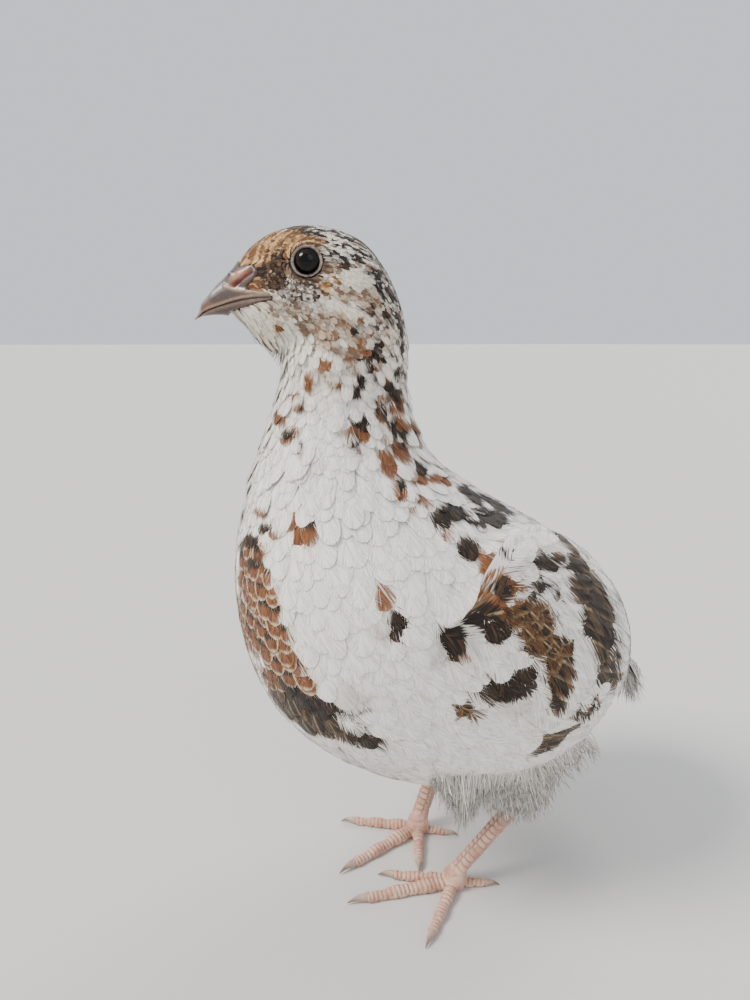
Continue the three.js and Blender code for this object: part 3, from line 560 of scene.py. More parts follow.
class Field:
    """The signed distance in mm to the surface of some nodes, smoothed, and its slope."""

    def __init__(self, name, nodes, body_blur, head_blur):
        points, quads = remeshed(name, *node_mesh(nodes), SKIN_VOXEL)
        points = relaxed(points, quads, 2)
        self.points, self.quads = points, quads
        self.tree = BVHTree.FromPolygons(points.tolist(), quads.tolist())
        self.low = np.floor(points.min(0)) - 9
        self.count = np.ceil((points.max(0) + 9 - self.low) / FIELD_CELL).astype(int)
        self.count += (-self.count) % FIELD_COARSE + 1
        coarse = self.exact(self.places(FIELD_COARSE))
        grid = self.refined(coarse.reshape((self.count - 1) // FIELD_COARSE + 1))
        near = np.abs(grid) < FIELD_BAND
        grid[near] = self.exact(self.places(1)[near.ravel()])
        height = (self.low[2] + np.arange(self.count[2]) * FIELD_CELL)[None, None, :]
        head = ramp(128.0, 140.0, height)
        self.grid = mix(blurred(grid, body_blur), blurred(grid, head_blur), head)
        self.slopes = [g.ravel() for g in np.gradient(self.grid, FIELD_CELL)]
        self.grid = self.grid.ravel()

    def places(self, step):
        axes = [self.low[i] + np.arange(0, self.count[i], step) * FIELD_CELL for i in range(3)]
        return np.stack(np.meshgrid(*axes, indexing="ij"), -1).reshape(-1, 3)

    def exact(self, places):
        find = self.tree.find_nearest
        made = np.zeros(len(places))
        for i, p in enumerate(places.tolist()):
            at, normal, _, distance = find(p)
            inside = (p[0] - at[0]) * normal[0] + (p[1] - at[1]) * normal[1] + (p[2] - at[2]) * normal[2]
            made[i] = -distance if inside < 0 else distance
        return made

    def refined(self, coarse):
        """The coarse grid, spread linearly over the fine one."""
        for axis in range(3):
            n = self.count[axis]
            t = np.arange(n) / FIELD_COARSE
            i = np.minimum(t.astype(int), coarse.shape[axis] - 2)
            shape = [1, 1, 1]
            shape[axis] = n
            f = (t - i).reshape(shape)
            coarse = coarse.take(i, axis) * (1 - f) + coarse.take(i + 1, axis) * f
        return coarse

    def corners(self, p):
        q = np.clip((p - self.low) / FIELD_CELL, 0, self.count - 1.001)
        i = q.astype(int)
        f = q - i
        strides = np.array([self.count[1] * self.count[2], self.count[2], 1])
        base = i @ strides
        found = []
        for corner in range(8):
            bits = np.array([corner >> 2 & 1, corner >> 1 & 1, corner & 1])
            weight = np.prod(np.where(bits, f, 1 - f), -1)
            found.append((base + bits @ strides, weight))
        return found

    def at(self, p):
        return sum(self.grid[i] * w for i, w in self.corners(p))

    def normal(self, p):
        corners = self.corners(p)
        return unit(np.stack([sum(g[i] * w for i, w in corners) for g in self.slopes], -1))

    def onto(self, p, level, rounds=2):
        """Points moved straight out or in until they stand at a level."""
        for _ in range(rounds):
            corners = self.corners(p)
            slope = np.stack([sum(g[i] * w for i, w in corners) for g in self.slopes], -1)
            steep = np.maximum((slope * slope).sum(-1), 0.15)
            off = sum(self.grid[i] * w for i, w in corners) - level
            p = p - slope * (off / steep)[:, None]
        return p


# The plumage at any point


def both_sides(rows):
    """The rows of the plumage, with the mirror image of each that has one after it."""
    for at, way, size, *both in rows:
        yield at, way, size
        if both:
            yield (-at[0], *at[1:]), (-way[0], *way[1:]), size


def plumage_weights(p):
    away = ((p[:, None, :] - plumage_at[None]) ** 2).sum(-1)
    weights = np.exp(-away / plumage_reach**2) + 1e-9
    nearest = np.exp(-away / (2.5 * plumage_reach) ** 2) * 1e-3
    weights = weights + nearest
    return weights / weights.sum(1, keepdims=True)


def plumage_sizes(p):
    """The length, width and depth of the feathers at each point."""
    return plumage_weights(p) @ plumage_size


def eye_axis():
    c = math.cos(EYE_UP)
    return np.array([c * math.cos(EYE_FORWARD), -c * math.sin(EYE_FORWARD), math.sin(EYE_UP)])


def by_nearer_eye(p, out):
    """Points from a share of the eyeball's radius out along its axis, as on the left side."""
    q = in_head(p)
    flip = np.where(q[:, :1] < 0, [[-1.0, 1, 1]], [[1.0, 1, 1]])
    return q * flip - EYE_MIDDLE - eye_axis() * EYE_RADIUS * out, flip


def from_eye(p):
    """The direction away from the middle of the nearer eye's opening, and the distance, in mm."""
    q, flip = by_nearer_eye(p, 1.0)
    return turn_from_head(unit(q) * flip), np.linalg.norm(q, axis=1)


def lanes(p):
    """Places for streaks that run round the eye and back from it, and how much of them shows."""
    q, _ = by_nearer_eye(p, LANE_DEEP)
    back = np.array(LANE_BACK)
    share = np.clip(q @ back / (back @ back), 0, 1)
    away = np.linalg.norm(q - share[:, None] * back, axis=1)
    along = q[:, 1:] * LANE_COARSE
    return np.column_stack([away * LANE_FINE, along, ramp(*LANE_FADES, p[:, 2])])


def plumage_lie(p, normals):
    """The way the feathers lie at each point, along the surface."""
    way = plumage_weights(p) @ plumage_way
    way = way - normals * (way * normals).sum(-1, keepdims=True)
    away, distance = from_eye(p)
    inward = np.minimum((way * away).sum(-1), 0) * ramp(7.5, 4.6, distance)
    return unit(way - 1.15 * away * inward[:, None])


def make_camera():
    data = bpy.data.cameras.new("camera")
    data.sensor_fit = "VERTICAL"
    data.sensor_height = SENSOR
    data.lens = FOCAL_PIXELS / FRAME_HIGH * SENSOR
    data.clip_start = 0.005
    camera = bpy.data.objects.new("camera", data)
    camera.location = Vector(CAMERA_AT) * MM
    camera.rotation_euler = (math.radians(90 - CAMERA_PITCH), 0, math.radians(CAMERA_HEADING))
    bpy.context.scene.collection.objects.link(camera)
    bpy.context.scene.camera = camera


def add_light(name, way, soft, strength, colour):
    """Even light from one direction. `soft` is how wide the light looks, in degrees."""
    data = bpy.data.lights.new(name, "SUN")
    data.angle = math.radians(soft)
    data.energy = strength
    data.color = colour
    light = bpy.data.objects.new(name, data)
    light.location = Vector(way)
    light.rotation_euler = Vector(way).to_track_quat("Z", "Y").to_euler()
    bpy.context.scene.collection.objects.link(light)


def make_stage():
    """A plain pale floor and soft studio light."""
    side = 60.0
    corners = [(-side, -side, 0), (side, -side, 0), (side, side, 0), (-side, side, 0)]
    floor = make_object("floor", np.array(corners) / MM, [[0, 1, 2, 3]])
    material = bpy.data.materials.new("floor")
    material.use_nodes = True
    shader = material.node_tree.nodes["Principled BSDF"]
    shader.inputs["Base Color"].default_value = (0.58, 0.57, 0.555, 1)
    shader.inputs["Roughness"].default_value = 0.85
    floor.data.materials.append(material)
    world = bpy.data.worlds.new("world")
    bpy.context.scene.world = world
    world.use_nodes = True
    background = world.node_tree.nodes["Background"]
    background.inputs["Color"].default_value = (0.82, 0.86, 0.92, 1)
    background.inputs["Strength"].default_value = 1.0
    add_light("key", (-0.15, -1.0, 1.05), 22.0, 3.9, (1.0, 0.96, 0.9))
    add_light("fill", (1.0, -0.1, 0.6), 40.0, 0.5, (0.95, 0.97, 1.0))
    add_light("rim", (-0.4, 0.9, 0.9), 25.0, 1.2, (1.0, 0.97, 0.92))


# Feathers


def outline(u):
    """Half the width of a feather's vane at each share of its length, as a share of its widest."""
    base = 0.22 + 0.78 * np.sin(math.pi / 2 * np.clip(u / 0.62, 0, 1)) ** 0.9
    tip = np.sqrt(1 - np.clip((u - 0.62) / 0.38, 0, 1) ** 2.3)
    return np.where(u < 0.62, base, tip)


class Vane:
    """The pattern of one closed feather: its points as shares of its length and half width.

    Barbs leave the shaft at even steps and sweep forward to the edge, and loose barbs run out
    past it. `under` says how far a point lies below the top face, as a share of the feather's
    thickness. `group` numbers the loose barbs, and `loose` says how far a point strays with it.
    """

    def __init__(self, barbs, strands, middle=False):
        self.u, self.v, self.under, self.group, self.loose = [], [], [], [], []
        self.faces, self.down = [], []
        self.groups = 1
        attach = np.arange(barbs) / barbs
        reach = 1 - 0.88 * (1 - attach) ** 1.6
        top = [self.point(a, 0, 0) for a in attach]
        bottom = [top[0]] + [self.point(a, 0, 1) for a in attach[1:]]
        tip = self.tip = self.point(1, 0, 0)
        for side in (1, -1):
            edge = [self.point(u, side * outline(u), 0.3) for u in reach]
            inner, inner_low = top, bottom
            if middle:
                half = [(a + u) / 2 for a, u in zip(attach, reach)]
                wide = [side * outline(u) / 2 for u in reach]
                inner = [self.point(a, w, 0.05) for a, w in zip(half, wide)]
                inner_low = [self.point(a, w, 0.8) for a, w in zip(half, wide)]
                self.strip(top, inner, tip, side)
                self.strip(bottom, inner_low, tip, side, True)
                self.face(side, top[0], inner[0], inner_low[0])
            self.strip(inner, edge, tip, side)
            self.strip(inner_low, edge, tip, side, True)
            if middle:
                self.face(side, inner[0], edge[0], inner_low[0])
            for k in range(strands):
                self.barb((k + 0.5) / strands, side)
        self.line = np.clip(self.v / outline(np.clip(self.u, 0, 0.97)), -1, 1)
        for name in ("u", "v", "under", "loose"):
            setattr(self, name, np.array(getattr(self, name), float))
        self.faces = np.array(self.faces)
        self.down = np.array(self.down)
        self.turn = np.ones(len(self.u))
        self.turn[self.under == 1] = -1

    def point(self, u, v, under, group=0, loose=0.0):
        self.u.append(float(u))
        self.v.append(float(v))
        self.under.append(under)
        self.group.append(group)
        self.loose.append(loose)
        return len(self.u) - 1

    def face(self, side, a, b, c, down=False):
        if len({a, b, c}) == 3:
            self.faces.append((a, b, c) if side > 0 else (a, c, b))
            self.down.append(-1.0 if down else 1.0)

    def strip(self, near, far, tip, side, down=False):
        """Triangles between two lines of points that both end in the tip."""
        near, far = list(near) + [tip], list(far) + [tip]
        for i in range(len(near) - 1):
            self.face(-side if down else side, near[i], near[i + 1], far[i], down)
            self.face(-side if down else side, near[i + 1], far[i + 1], far[i], down)

    def barb(self, share, side):
        """One loose barb, a thin closed sliver that runs out past the vane's edge."""
        a = mix(0.25, 0.99, share)
        out = 1 - 0.88 * (1 - a) ** 1.6
        edge = side * outline(min(out, 0.985))
        group = self.groups
        self.groups += 1
        u, v = mix(a, out, 0.5), edge * 0.5
        left = self.point(u - BARB_WIDE, v, -0.4, group, 0.3)
        right = self.point(u + BARB_WIDE, v, -0.4, group, 0.3)
        low = self.point(u, v, 0.6, group, 0.3)
        tip = self.point(out + BARB_PAST, edge * 1.1, 0.1, group, 1.0)
        for face in ((left, right, tip), (right, low, tip), (low, left, tip), (left, low, right)):
            self.face(side, *face)

    def strayed(self, count, along, aside):
        """The points of many such feathers, with every loose barb moved a little."""
        move = random.normal(0, 1, (count, self.groups, 3))
        move[:, 0] = 0
        move = move[:, self.group] * self.loose[None, :, None]
        u = self.u[None] + move[..., 0] * along
        v = self.v[None] * (1 + move[..., 1] * aside) + 0.02 * move[..., 2]
        return u, v, self.under[None] - 0.8 * np.abs(move[..., 2])


def quill_values(vane, u, v, long, half, sweep):
    """Where each point lies on its feather: by barb, across, the feather's own seed, and along."""
    seed = np.repeat(random.uniform(0, 1, len(u))[:, None], len(vane.u), 1)
    barb = sweep[0] * u * long[:, None] - sweep[1] * np.abs(v) * half
    return np.stack([barb, np.broadcast_to(vane.line, u.shape), seed, np.clip(u, 0, 1)], -1)


def grow(vane, roots, sizes, turn, lift, stations, sweep):
    """Points and quill values of one feather at each root, laid along the lie of the coat."""
    count = len(roots)
    long, wide, deep = sizes.T
    line = [roots]
    ways = []
    p = roots
    for _ in range(stations):
        normal = coat_field.normal(p)
        way = plumage_lie(p, normal)
        side = np.cross(normal, way)
        way = unit(way * np.cos(turn)[:, None] + side * np.sin(turn)[:, None])
        ways.append(way)
        p = coat_field.onto(p + way * (long / stations)[:, None], 0.0, 1)
        line.append(p)
    ways.append(ways[-1])
    line, ways = np.stack(line, 1), np.stack(ways, 1)
    u, v, under = vane.strayed(count, 0.03, 0.06)
    s = np.clip(u, 0, 1) * stations
    i = np.minimum(s.astype(int), stations - 1)
    f = (s - i)[..., None]
    row = np.arange(count)[:, None]
    middle = mix(line[row, i], line[row, i + 1], f)
    way = unit(mix(ways[row, i], ways[row, i + 1], f))
    beyond = np.maximum(u - 1, 0) * long[:, None]
    normal = coat_field.normal(middle.reshape(-1, 3)).reshape(middle.shape)
    side = np.cross(normal, way)
    half = wide[:, None] / 2
    at = middle + side * (v * half)[..., None] + way * beyond[..., None]
    thick = np.minimum(0.09, 0.04 * wide)[:, None]
    deep = deep[:, None]
    level = -deep * (1 - np.clip(u, 0, 1)) ** ROOT_RISE + TIP_PROUD * deep
    high = level + lift[:, None] * u - under * thick
    high = high - 0.02 * half * np.abs(v) ** 2
    flat = at.reshape(-1, 3)
    normals = coat_field.normal(flat)
    flat = coat_field.onto(flat, 0.0, 2) + normals * high.reshape(-1, 1)
    tilt = side * (0.35 * v * CROWN)[..., None]
    facing = unit(normals.reshape(middle.shape) + tilt)
    quill = quill_values(vane, u, v, long, half, sweep)
    exposed = mix(line[:, stations - 2], line[:, stations - 1], 0.5)
    return flat.reshape(count, -1, 3), quill, exposed, facing


def feather_object(part, vane, grown, roots, long, pull=0.35, jitter=0.0, replaces=()):
    """One mesh of many feathers, with their quill values, their marks and their unwrap."""
    points, quill, exposed, facing = grown
    count, each = points.shape[:2]
    faces = vane.faces
    a, b, c = (points[0, faces[:, k]] for k in range(3))
    outward = (np.cross(b - a, c - a) * facing[0, faces[:, 0]]).sum(-1) * vane.down
    if outward.sum() < 0:
        faces = faces[:, ::-1]
    faces = (faces[None] + (np.arange(count) * each)[:, None, None]).reshape(-1, 3)
    flat = points.reshape(-1, 3)
    obj = make_object(part + "_feathers", flat, faces)
    set_attribute(obj, "quill", quill.reshape(-1, 4))
    set_attribute(obj, "long", np.repeat(long, each))
    paint(obj, mix(flat, np.repeat(exposed, each, 0), pull), each, jitter)
    unwrap = np.repeat(spread(roots), each, 0)
    small = np.stack([quill[..., 3].ravel() - 0.5, np.tile(vane.v, count) * 0.5], -1)
    set_unwrap(obj, unwrap + small * PATCH, faces)
    set_normals(obj, facing.reshape(-1, 3) * np.tile(vane.turn, count)[:, None])
    finish_piece(obj, plumage, replaces)


def spread(p):
    """A place from 0 to 1 both ways for each root, on an unwrap of the skin round its own axis."""
    lean = np.interp(p[:, 2], SPREAD_HEIGHTS, SPREAD_MIDDLES)
    around = np.arctan2(p[:, 0], -(p[:, 1] - lean)) / (2 * math.pi) + 0.5
    return np.stack([0.01 + 0.98 * around, 0.01 + 0.98 * np.clip(p[:, 2] / 170, 0, 1)], -1)


def scattered(points, quads, gap, tries):
    """Seeded roots over a mesh, none closer than gap(p) to another of its own size."""
    tris = halves(quads)
    a, b, c = points[tris[:, 0]], points[tris[:, 1]], points[tris[:, 2]]
    area = np.linalg.norm(np.cross(b - a, c - a), axis=1) / 2
    middle = (a + b + c) / 3
    want = area / gap(middle) ** 2
    pick = random.choice(len(tris), int(want.sum() * tries), p=want / want.sum())
    r1, r2 = np.sqrt(random.uniform(0, 1, len(pick))), random.uniform(0, 1, len(pick))
    p = a[pick] * (1 - r1)[:, None] + b[pick] * (r1 * (1 - r2))[:, None] + c[pick] * (r1 * r2)[:, None]
    gaps = gap(p)
    kept = []
    cells = {}
    for i, (x, y, z) in enumerate(p.tolist()):
        r = gaps[i]
        size = 2.0 ** math.ceil(math.log2(r))
        cx, cy, cz = int(x // size), int(y // size), int(z // size)
        near = [
            q
            for ix in (cx - 1, cx, cx + 1)
            for iy in (cy - 1, cy, cy + 1)
            for iz in (cz - 1, cz, cz + 1)
            for q in cells.get((size, ix, iy, iz), ())
        ]
        if all((x - q[0]) ** 2 + (y - q[1]) ** 2 + (z - q[2]) ** 2 > r * r for q in near):
            cells.setdefault((size, cx, cy, cz), []).append((x, y, z))
            kept.append(i)
    return p[kept]


# Markings


def sight_line(x, y):
    """The direction from the camera through a pixel of the photograph."""
    h, q = math.radians(CAMERA_HEADING), math.radians(CAMERA_PITCH)
    right = np.array([math.cos(h), math.sin(h), 0])
    ahead = np.array([-math.sin(h) * math.cos(q), math.cos(h) * math.cos(q), -math.sin(q)])
    up = np.cross(right, ahead)
    across = (x - FRAME_WIDE / 2) / FOCAL_PIXELS
    down = (y - FRAME_HIGH / 2) / FOCAL_PIXELS
    return unit(ahead + right * across - up * down)


def on_plane(x, y, at, normal):
    line = sight_line(x, y)
    return CAMERA_AT + line * ((at - CAMERA_AT) @ normal) / (line @ normal)


def strewn():
    """The flecks, given as the single marks are."""
    for kind, x, y, wide, high, slant, count, long, thin in FLECKS:
        turn = math.radians(slant)
        for _ in range(count):
            far, around = math.sqrt(random.uniform(0, 1)), random.uniform(0, 2 * math.pi)
            a, b = wide * far * math.cos(around), high * far * math.sin(around)
            lie = FLECK_LIE + random.normal(0, FLECK_SPREAD)
            size = random.uniform(0.7, 1.3)
            at = (x + a * math.cos(turn) - b * math.sin(turn), y + a * math.sin(turn) + b * math.cos(turn))
            yield kind, (*at, long * size, thin * size, lie)


def cast_marks():
    """Each mark as its kind, its middle, the inverse of its axes and its smallest half axis."""
    made = []
    listed = [(kind, spot) for kind, spots in MARKS.items() for spot in spots]
    for kind, (x, y, wide, high, slant) in listed + list(strewn()):
        hit = coat_field.tree.ray_cast(CAMERA_AT, sight_line(x, y).tolist())
        if hit[0] is None:
            continue
        at = np.array(hit[0])
        normal = coat_field.normal(at[None])[0]
        if abs(sight_line(x, y) @ normal) < 0.3:
            normal = unit(normal - 0.5 * sight_line(x, y))
        turn = math.radians(slant)
        c, s = math.cos(turn), math.sin(turn)
        a = on_plane(x + wide * c, y + wide * s, at, normal) - at
        b = on_plane(x - high * s, y + high * c, at, normal) - at
        made.append(mark(kind, at, a, b, normal))
        flip = mirrored(at)
        if flip:
            moved = flip(at) + random.normal(0, 0.12 * np.linalg.norm(a), 3)
            grown = random.uniform(0.85, 1.15)
            a, b, normal = (flip(at + v) - flip(at) for v in (a, b, normal))
            made.append(mark(kind, moved, a * grown, b * grown, normal))
    for kind, at, a, b in BACK_MARKS:
        at = np.array(at, float)
        a, b = np.array(a, float), np.array(b, float)
        made.append(mark(kind, at, a, b, unit(np.cross(a, b))))
    return made


def mirrored(at):
    """The mirroring of a mark to the unseen side, or none near the middle of the bird."""
    if at[2] > HEAD_FROM:
        if in_head(at)[0] > 2.0:
            return lambda p: from_head(in_head(p) * (-1, 1, 1))
    elif at[0] > MIRROR_FROM:
        return lambda p: p * (-1, 1, 1)
    return None


def mark(kind, at, a, b, normal):
    least = min(np.linalg.norm(a), np.linalg.norm(b))
    most = max(np.linalg.norm(a), np.linalg.norm(b))
    deep = min(MARK_DEPTH, 2 + 2 * most)
    axes = np.linalg.inv(np.stack([a, b, normal * deep], 1))
    reach = max(most, deep) * 1.5 + 1.5
    return KINDS.index(kind), at, axes, least, reach


def mark_depths(p):
    """How deep inside the marks of each kind a point lies, in mm; negative outside."""
    found = np.full((len(p), len(KINDS)), -MARK_CLIP, np.float32)
    low, high = p.min(0), p.max(0)
    for kind, at, axes, least, reach in marks:
        if (at + reach < low).any() or (at - reach > high).any():
            continue
        near = np.flatnonzero(np.abs(p - at).max(1) < reach)
        q = (p[near] - at) @ axes.T
        depth = (1 - np.sqrt((q * q).sum(1))) * least
        found[near, kind] = np.maximum(found[near, kind], depth)
    return found


def paint(obj, p, each=1, jitter=0.0):
    """The marks at each point. Each feather may stray by some jitter, so that edges are mottled."""
    depths = mark_depths(p)
    set_attribute(obj, "lane", lanes(p))
    if jitter:
        stray = random.normal(0, 1, (len(p) // each, len(KINDS))) * np.where(MOTTLED, jitter, jitter * 0.3)
        depths += np.repeat(stray, each, 0)
    set_attribute(obj, "marks_a", depths[:, 0:4])
    set_attribute(obj, "marks_b", depths[:, 4:8])
    set_attribute(obj, "marks_c", depths[:, 8:12])


# Materials


def srgb(code):
    """A colour of the scene from its six hexadecimal digits."""
    parts = [int(code[i : i + 2], 16) / 255 for i in (0, 2, 4)]
    return tuple(c / 12.92 if c < 0.04045 else ((c + 0.055) / 1.055) ** 2.4 for c in parts) + (1,)


class Shader:
    """A material made by short calls. A value is a number, a colour's digits or a node's output."""

    def __init__(self, name, roughness, **sockets):
        self.material = bpy.data.materials.new(name)
        self.material.use_nodes = True
        self.tree = self.material.node_tree
        self.surface = self.tree.nodes["Principled BSDF"]
        self.surface.inputs["Roughness"].default_value = roughness
        for key, value in sockets.items():
            self.surface.inputs[key.replace("_", " ")].default_value = value

    def put(self, value, socket):
        if isinstance(value, str):
            value = srgb(value)
        if isinstance(value, bpy.types.NodeSocket):
            self.tree.links.new(value, socket)
        else:
            socket.default_value = value

    def math(self, operation, a, b=0.0, c=0.0):
        node = self.tree.nodes.new("ShaderNodeMath")
        node.operation = operation
        for socket, value in zip(node.inputs, (a, b, c)):
            self.put(value, socket)
        return node.outputs[0]

    def add(self, a, b):
        return self.math("ADD", a, b)

    def times(self, a, b):
        return self.math("MULTIPLY", a, b)

    def most(self, a, b):
        return self.math("MAXIMUM", a, b)

    def step(self, low, high, x):
        node = self.tree.nodes.new("ShaderNodeMapRange")
        node.interpolation_type = "SMOOTHSTEP"
        self.put(x, node.inputs["Value"])
        node.inputs["From Min"].default_value = low
        node.inputs["From Max"].default_value = high
        return node.outputs["Result"]

    def blend(self, a, b, t):
        node = self.tree.nodes.new("ShaderNodeMix")
        node.data_type = "RGBA"
        self.put(t, node.inputs["Factor"])
        self.put(a, node.inputs[6])
        self.put(b, node.inputs[7])
        return node.outputs[2]

    def tone(self, a, b, x, low, high):
        """One colour where x is low, running into another where it is high."""
        return self.blend(a, b, self.step(low, high, x))

    def attribute(self, name):
        node = self.tree.nodes.new("ShaderNodeAttribute")
        node.attribute_name = name
        parts = self.tree.nodes.new("ShaderNodeSeparateXYZ")
        self.tree.links.new(node.outputs["Vector"], parts.inputs[0])
        return [*parts.outputs, node.outputs["Alpha"], node.outputs["Fac"]]

    def place(self, x, y, z):
        node = self.tree.nodes.new("ShaderNodeCombineXYZ")
        for socket, value in zip(node.inputs, (x, y, z)):
            self.put(value, socket)
        return node.outputs[0]

    def noise(self, place, scale=1.0, detail=2.0):
        node = self.tree.nodes.new("ShaderNodeTexNoise")
        self.put(place, node.inputs["Vector"])
        node.inputs["Scale"].default_value = scale
        node.inputs["Detail"].default_value = detail
        return node.outputs["Fac"]

    def grain(self, scale, detail):
        return self.noise(self.tree.nodes.new("ShaderNodeTexCoord").outputs["Object"], scale, detail)

    def colour(self, value):
        self.put(value, self.surface.inputs["Base Color"])

    def bump(self, height, distance, strength=1.0):
        node = self.tree.nodes.new("ShaderNodeBump")
        node.inputs["Distance"].default_value = distance * MM
        node.inputs["Strength"].default_value = strength
        self.put(height, node.inputs["Height"])
        self.tree.links.new(node.outputs["Normal"], self.surface.inputs["Normal"])


def plumage_material():
    """White feathers with their marks, streaked along the barbs."""
    s = Shader("plumage", 0.82, Sheen_Weight=0.12, Specular_IOR_Level=0.25)
    barb, across, seed, along, _ = s.attribute("quill")
    rust, black, wild, white, _ = s.attribute("marks_a")
    band, scallop, grey, cream, _ = s.attribute("marks_b")
    gold, brown, malar, streaky, _ = s.attribute("marks_c")
    lane = s.attribute("lane")
    streak = s.noise(s.place(lane[0], lane[1], lane[2]), 1.0, 2.0)
    broad = s.noise(s.place(s.times(lane[0], 0.45), lane[1], lane[2]), 1.0, 1.0)
    long = s.attribute("long")[4]
    off = s.math("ABSOLUTE", across)
    shift = s.times(seed, 47.0)
    bend = s.noise(s.place(s.times(along, 2.5), s.times(across, 1.2), shift), 1.0, 1.0)
    line = s.add(s.times(barb, 1.9), s.times(bend, 1.2))
    hair = s.noise(s.place(line, s.times(across, 0.9), shift), 1.0, 3.0)
    dull = s.step(0.6, 0.75, seed)
    stray = s.times(s.add(hair, -0.5), s.times(long, 0.26))
    cloud = s.noise(s.place(s.times(barb, 0.45), s.times(across, 0.8), shift), 1.0, 2.0)
    fringe = s.most(s.step(0.70, 0.95, off), s.step(0.90, 0.985, along))
    shaft = s.step(0.12, 0.03, off)
    base = s.step(0.6, 0.2, along)

    def inside(depth, soft=0.22):
        return s.step(-soft, soft, s.add(depth, stray))

    light = s.tone("d4ccc0", "f7f3ec", hair, 0.3, 0.6)
    light = s.blend(light, "cbc3b8", s.times(base, 0.5))
    light = s.blend(light, "d3c6b2", s.times(lane[3], 0.45))
    light = s.blend(light, "7c6e60", s.times(s.times(s.step(0.55, 0.68, streak), lane[3]), 0.6))
    creamy = s.tone("cdbfa4", "efe7d6", hair, 0.35, 0.6)
    rusty = s.tone("51301c", "8b5836", hair, 0.3, 0.7)
    rusty = s.blend(rusty, "b48c64", s.times(fringe, 0.3))
    dark = s.tone("17110d", "4b3829", hair, 0.42, 0.72)
    buff = s.tone("a98658", "d9bf92", hair, 0.3, 0.7)
    tan = s.tone("50331f", "8c6440", cloud, 0.35, 0.65)
    wildly = s.blend(tan, dark, s.step(0.46, 0.56, s.add(cloud, s.times(base, 0.3))))
    wildly = s.blend(wildly, buff, s.most(s.times(fringe, 0.22), s.times(shaft, 0.5)))
    banded = s.tone("1f1712", "54402e", cloud, 0.42, 0.62)
    banded = s.blend(banded, buff, s.most(s.times(fringe, 0.12), s.times(shaft, 0.35)))
    scale = s.blend(rusty, dark, s.step(0.80, 0.70, along))
    scale = s.blend(scale, "dcc7a8", s.times(fringe, 0.7))
    golden = s.tone("6c4627", "c69c6b", streak, 0.4, 0.6)
    golden = s.blend(golden, "3a2616", s.times(s.step(0.56, 0.66, broad), 0.8))
    golden = s.blend(golden, "dcbd90", s.times(s.step(0.58, 0.68, streak), 0.6))
    brownish = s.tone("20150f", "5c4534", streak, 0.42, 0.62)
    brownish = s.blend(brownish, "a58c74", s.times(s.step(0.6, 0.68, broad), 0.55))
    scaly = s.tone("6f5846", "bba993", streak, 0.42, 0.6)
    pale_edge = s.most(s.step(0.58, 0.66, broad), s.times(fringe, dull))
    scaly = s.blend(scaly, "d5c8b8", s.times(pale_edge, 0.5))
    streaks = s.tone("1d140f", "d8cfc3", streak, 0.46, 0.56)
    streaks = s.blend(streaks, "7b4f30", s.times(s.step(0.56, 0.64, broad), 0.7))
    smoky = s.tone("a39c94", "dcd6cd", hair, 0.3, 0.65)
    layers = [
        (creamy, cream, 0.8), (smoky, grey, 2.6), (scaly, malar, 0.4), (golden, gold, 0.5),
        (brownish, brown, 0.4), (streaks, streaky, 0.5), (wildly, wild, 0.3), (scale, scallop, 0.3),
        (banded, band, 0.3), (rusty, rust, 0.4), (dark, black, 0.3), (light, white, 0.3),
    ]
    colour = light
    for layer, depth, soft in layers:
        colour = s.blend(colour, layer, inside(depth, soft))
    s.colour(colour)
    ridge = s.step(0.1, 0.0, off)
    s.bump(s.add(s.times(hair, 1.0), s.times(ridge, 0.4)), 0.14, 0.6)
    return s.material


def eye_material():
    s = Shader("eye", 0.03, Coat_Weight=0.1, Coat_Roughness=0.02, Specular_IOR_Level=0.16)
    angle = s.attribute("from_pupil")[4]
    grain = s.grain(900.0, 3.0)
    iris = s.tone("0b0705", "20140d", grain, 0.35, 0.65)
    colour = s.blend("030303", iris, s.step(18.0, 20.0, angle))
    s.colour(s.blend(colour, "080606", s.step(31.0, 34.0, angle)))
    return s.material


def lid_material():
    s = Shader("eyelid", 0.5, Specular_IOR_Level=0.4)
    angle = s.attribute("from_pupil")[4]
    grain = s.grain(1400.0, 3.0)
    colour = s.tone("62584f", "988d81", grain, 0.3, 0.65)
    colour = s.blend("2a211c", colour, s.step(LID_FROM, LID_FROM + 3.5, angle))
    s.colour(s.blend(colour, "43342a", s.step(LID_TO - 6.0, LID_TO, angle)))
    s.bump(grain, 0.08, 0.6)
    return s.material


def horn_material():
    s = Shader("bill_horn", 0.34, Coat_Weight=0.25, Coat_Roughness=0.25)
    r, g, b, _, _ = s.attribute("tint")
    grain = s.grain(700.0, 4.0)
    fine = s.grain(2600.0, 2.0)
    tint = s.place(r, g, b)
    dark = s.blend(tint, "4e3c33", s.times(s.step(0.5, 0.72, grain), 0.55))
    s.colour(s.blend(dark, "e6ded6", s.times(s.step(0.62, 0.8, fine), 0.25)))
    s.bump(s.add(s.times(grain, 1.0), s.times(fine, 0.35)), 0.10, 0.5)
    return s.material


def leg_material():
    """Pinkish skin, with soil in the seams between the plates."""
    s = Shader("leg_skin", 0.55, Specular_IOR_Level=0.4)
    relief = s.attribute("relief")[4]
    cloud = s.grain(260.0, 4.0)
    fine = s.grain(1500.0, 3.0)
    colour = s.tone("b98c78", "dcb5a0", cloud, 0.35, 0.65)
    colour = s.blend(colour, "eacdbb", s.times(s.step(0.55, 0.7, fine), 0.4))
    soil = s.times(relief, s.step(0.3, 0.6, cloud))
    colour = s.blend(colour, "6b4a3a", s.times(soil, 0.75))
    s.colour(s.blend(colour, "7a5f4c", s.times(s.step(0.6, 0.75, cloud), 0.35)))
    s.bump(fine, 0.10, 0.5)
    return s.material


